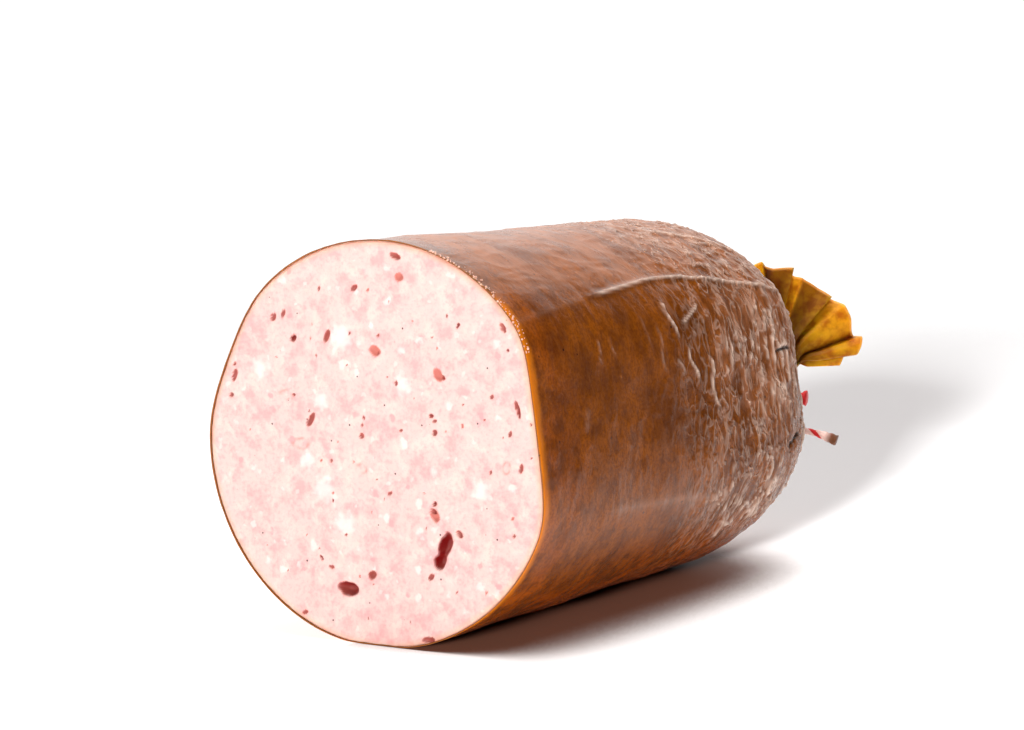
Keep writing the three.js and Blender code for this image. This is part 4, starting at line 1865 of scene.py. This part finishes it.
@dataclass(frozen=True)
class Studio:
    """The camera, the pale floor and the soft lights."""

    lens: float = 94.49
    heading: float = 30.53
    downward: float = 5.43
    eye: tuple[float, float, float] = (357.2, -605.4, 130.3)
    paper: tuple = (0.93, 0.93, 0.93, 1)
    # The painted contact shade's colour.
    gap: tuple = (0.09, 0.03, 0.015, 1)
    contact_shade_reach: float = 80.0
    floor_half: float = 4.0
    fades_over: tuple[float, float] = (0.78, 1.2)
    dimness: float = 0.06
    seen_whiteness: float = 1.04

    def build(self, sausage: list[bpy.types.Object]) -> None:
        """Adds the camera, the floor, the lights and the white surroundings, once the sausage is there.

        Args:
            sausage: the sausage's pieces.
        """
        self._camera()
        pieces = {Lit.FLOOR: [self._floor()], Lit.SAUSAGE: sausage}
        for light in self._softboxes():
            light.build(pieces)
        self._surroundings()

    def _camera(self) -> None:
        """A long lens at the height of the sausage's top, a little to its right."""
        camera = bpy.data.cameras.new("camera")
        camera.lens = self.lens
        camera.sensor_width = 36
        camera.clip_start = 0.01
        camera.clip_end = 50
        piece = bpy.data.objects.new("camera", camera)
        turn = Matrix.Rotation(math.radians(self.heading), 4, "Z")
        tilt = Matrix.Rotation(math.radians(90 - self.downward), 4, "X")
        place = Matrix.Translation(Vector(self.eye) * MM)
        piece.matrix_world = place @ turn @ tilt
        bpy.context.scene.collection.objects.link(piece)
        bpy.context.scene.camera = piece

    def _floor(self) -> bpy.types.Object:
        """A wide white sheet under the sausage, with painted shade, dark and warm, in the narrow gap below
        its side.

        Returns:
            The floor.
        """
        half, low = self.floor_half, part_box("casing")[0].z
        mesh = bpy.data.meshes.new("floor")
        corners = [(-half, -half, low), (half, -half, low), (half, half, low), (-half, half, low)]
        mesh.from_pydata(corners, [], [(0, 1, 2, 3)])
        mesh.materials.append(self._paper())
        piece = bpy.data.objects.new("floor", mesh)
        bpy.context.scene.collection.objects.link(piece)
        return piece

    def _paper(self) -> bpy.types.Material:
        """White paper that fades from the camera's view far out, with painted shade in the gap on the
        sausage's +X side, drawn from ambient occlusion.

        Returns:
            The material.
        """
        material, tree, shader = new_material("white_paper")
        # Painted contact shade: ambient occlusion, kept only on the +X side.
        open_share = tree.add("AmbientOcclusion", Distance=self.contact_shade_reach * MM).outputs["AO"]
        across = tree.add("SeparateXYZ", Vector=tree.millimetres()).outputs["X"]
        open_share = tree.number("MAXIMUM", open_share, tree.ramp(across, 2.0, -14.0))
        away = tree.add("VectorMath", operation="LENGTH")
        tree.feed(away.inputs[0], tree.add("TexCoord").outputs["Object"])
        beyond = tree.ramp(away.outputs["Value"], *self.fades_over)
        seen = tree.add("LightPath").outputs["Is Camera Ray"]
        tree.fill(
            shader,
            Base_Color=tree.blend(tree.ramp(open_share, 0.3, 0.68), self.gap, self.paper),
            Alpha=tree.number("SUBTRACT", 1.0, tree.number("MULTIPLY", beyond, seen)),
            Roughness=0.7,
            Specular_IOR_Level=0.2,
        )
        return material

    def _softboxes(self) -> tuple[Softbox, ...]:
        """The lights: one low in front, two overhead, a bright wall behind, and the floor's own.

        Returns:
            The lights.
        """
        middle = (0.0, 0.02, 0.05)
        return (
            Softbox("key", (0.45, -1.47, 0.41), middle, (0.14, 0.14), 10.8, (1.0, 0.98, 0.96)),
            Softbox("floor_key", (1.1, -3.85, 0.68), middle, (0.34, 0.34), 800.0, lit=Lit.FLOOR),
            Softbox("overhead", (-0.1, 0.1, 1.4), middle, (0.8, 0.8), 12.5, (1.0, 0.93, 0.92)),
            Softbox("top_fill", (-0.5, 0.3, 1.3), middle, (2.0, 2.0), 28.0, lit=Lit.SAUSAGE),
            Softbox("wall", (-1.6, 2.3, 1.2), (-1.6, 0.0, 1.2), (3.2, 2.4), 32.0),
        )

    def _surroundings(self) -> None:
        """White where the camera looks past the floor, and dim to everything else."""
        world = bpy.data.worlds.new("surroundings")
        world.use_nodes = True
        tree = NodeTree(world.node_tree)
        background = world.node_tree.nodes["Background"]
        seen = tree.add("LightPath").outputs["Is Camera Ray"]
        background.inputs["Color"].default_value = (1, 1, 1, 1)
        strength = tree.number("MULTIPLY_ADD", seen, self.seen_whiteness, self.dimness)
        tree.feed(background.inputs["Strength"], strength)
        bpy.context.scene.world = world


# ---------------------------------------------------------------- the whole


def main() -> None:
    """Builds the sausage's pieces and then the studio."""
    logging.basicConfig(level=logging.INFO, format="%(name)s: %(message)s")
    bpy.context.scene.view_settings.view_transform = "Standard"
    body, neck = Body(), Neck()
    meat = Meat(body).build()
    pieces = [meat, Casing(body, neck).build(), Tail(body, neck).build(), TieString(body, neck).build(),
              Crumbs(body).build(meat.data.materials[0])]
    for piece in pieces:
        LOG.info("%s: %d points, %d faces", piece.name, len(piece.data.vertices), len(piece.data.polygons))
    Studio().build(pieces)


if __name__ == "__main__":
    main()
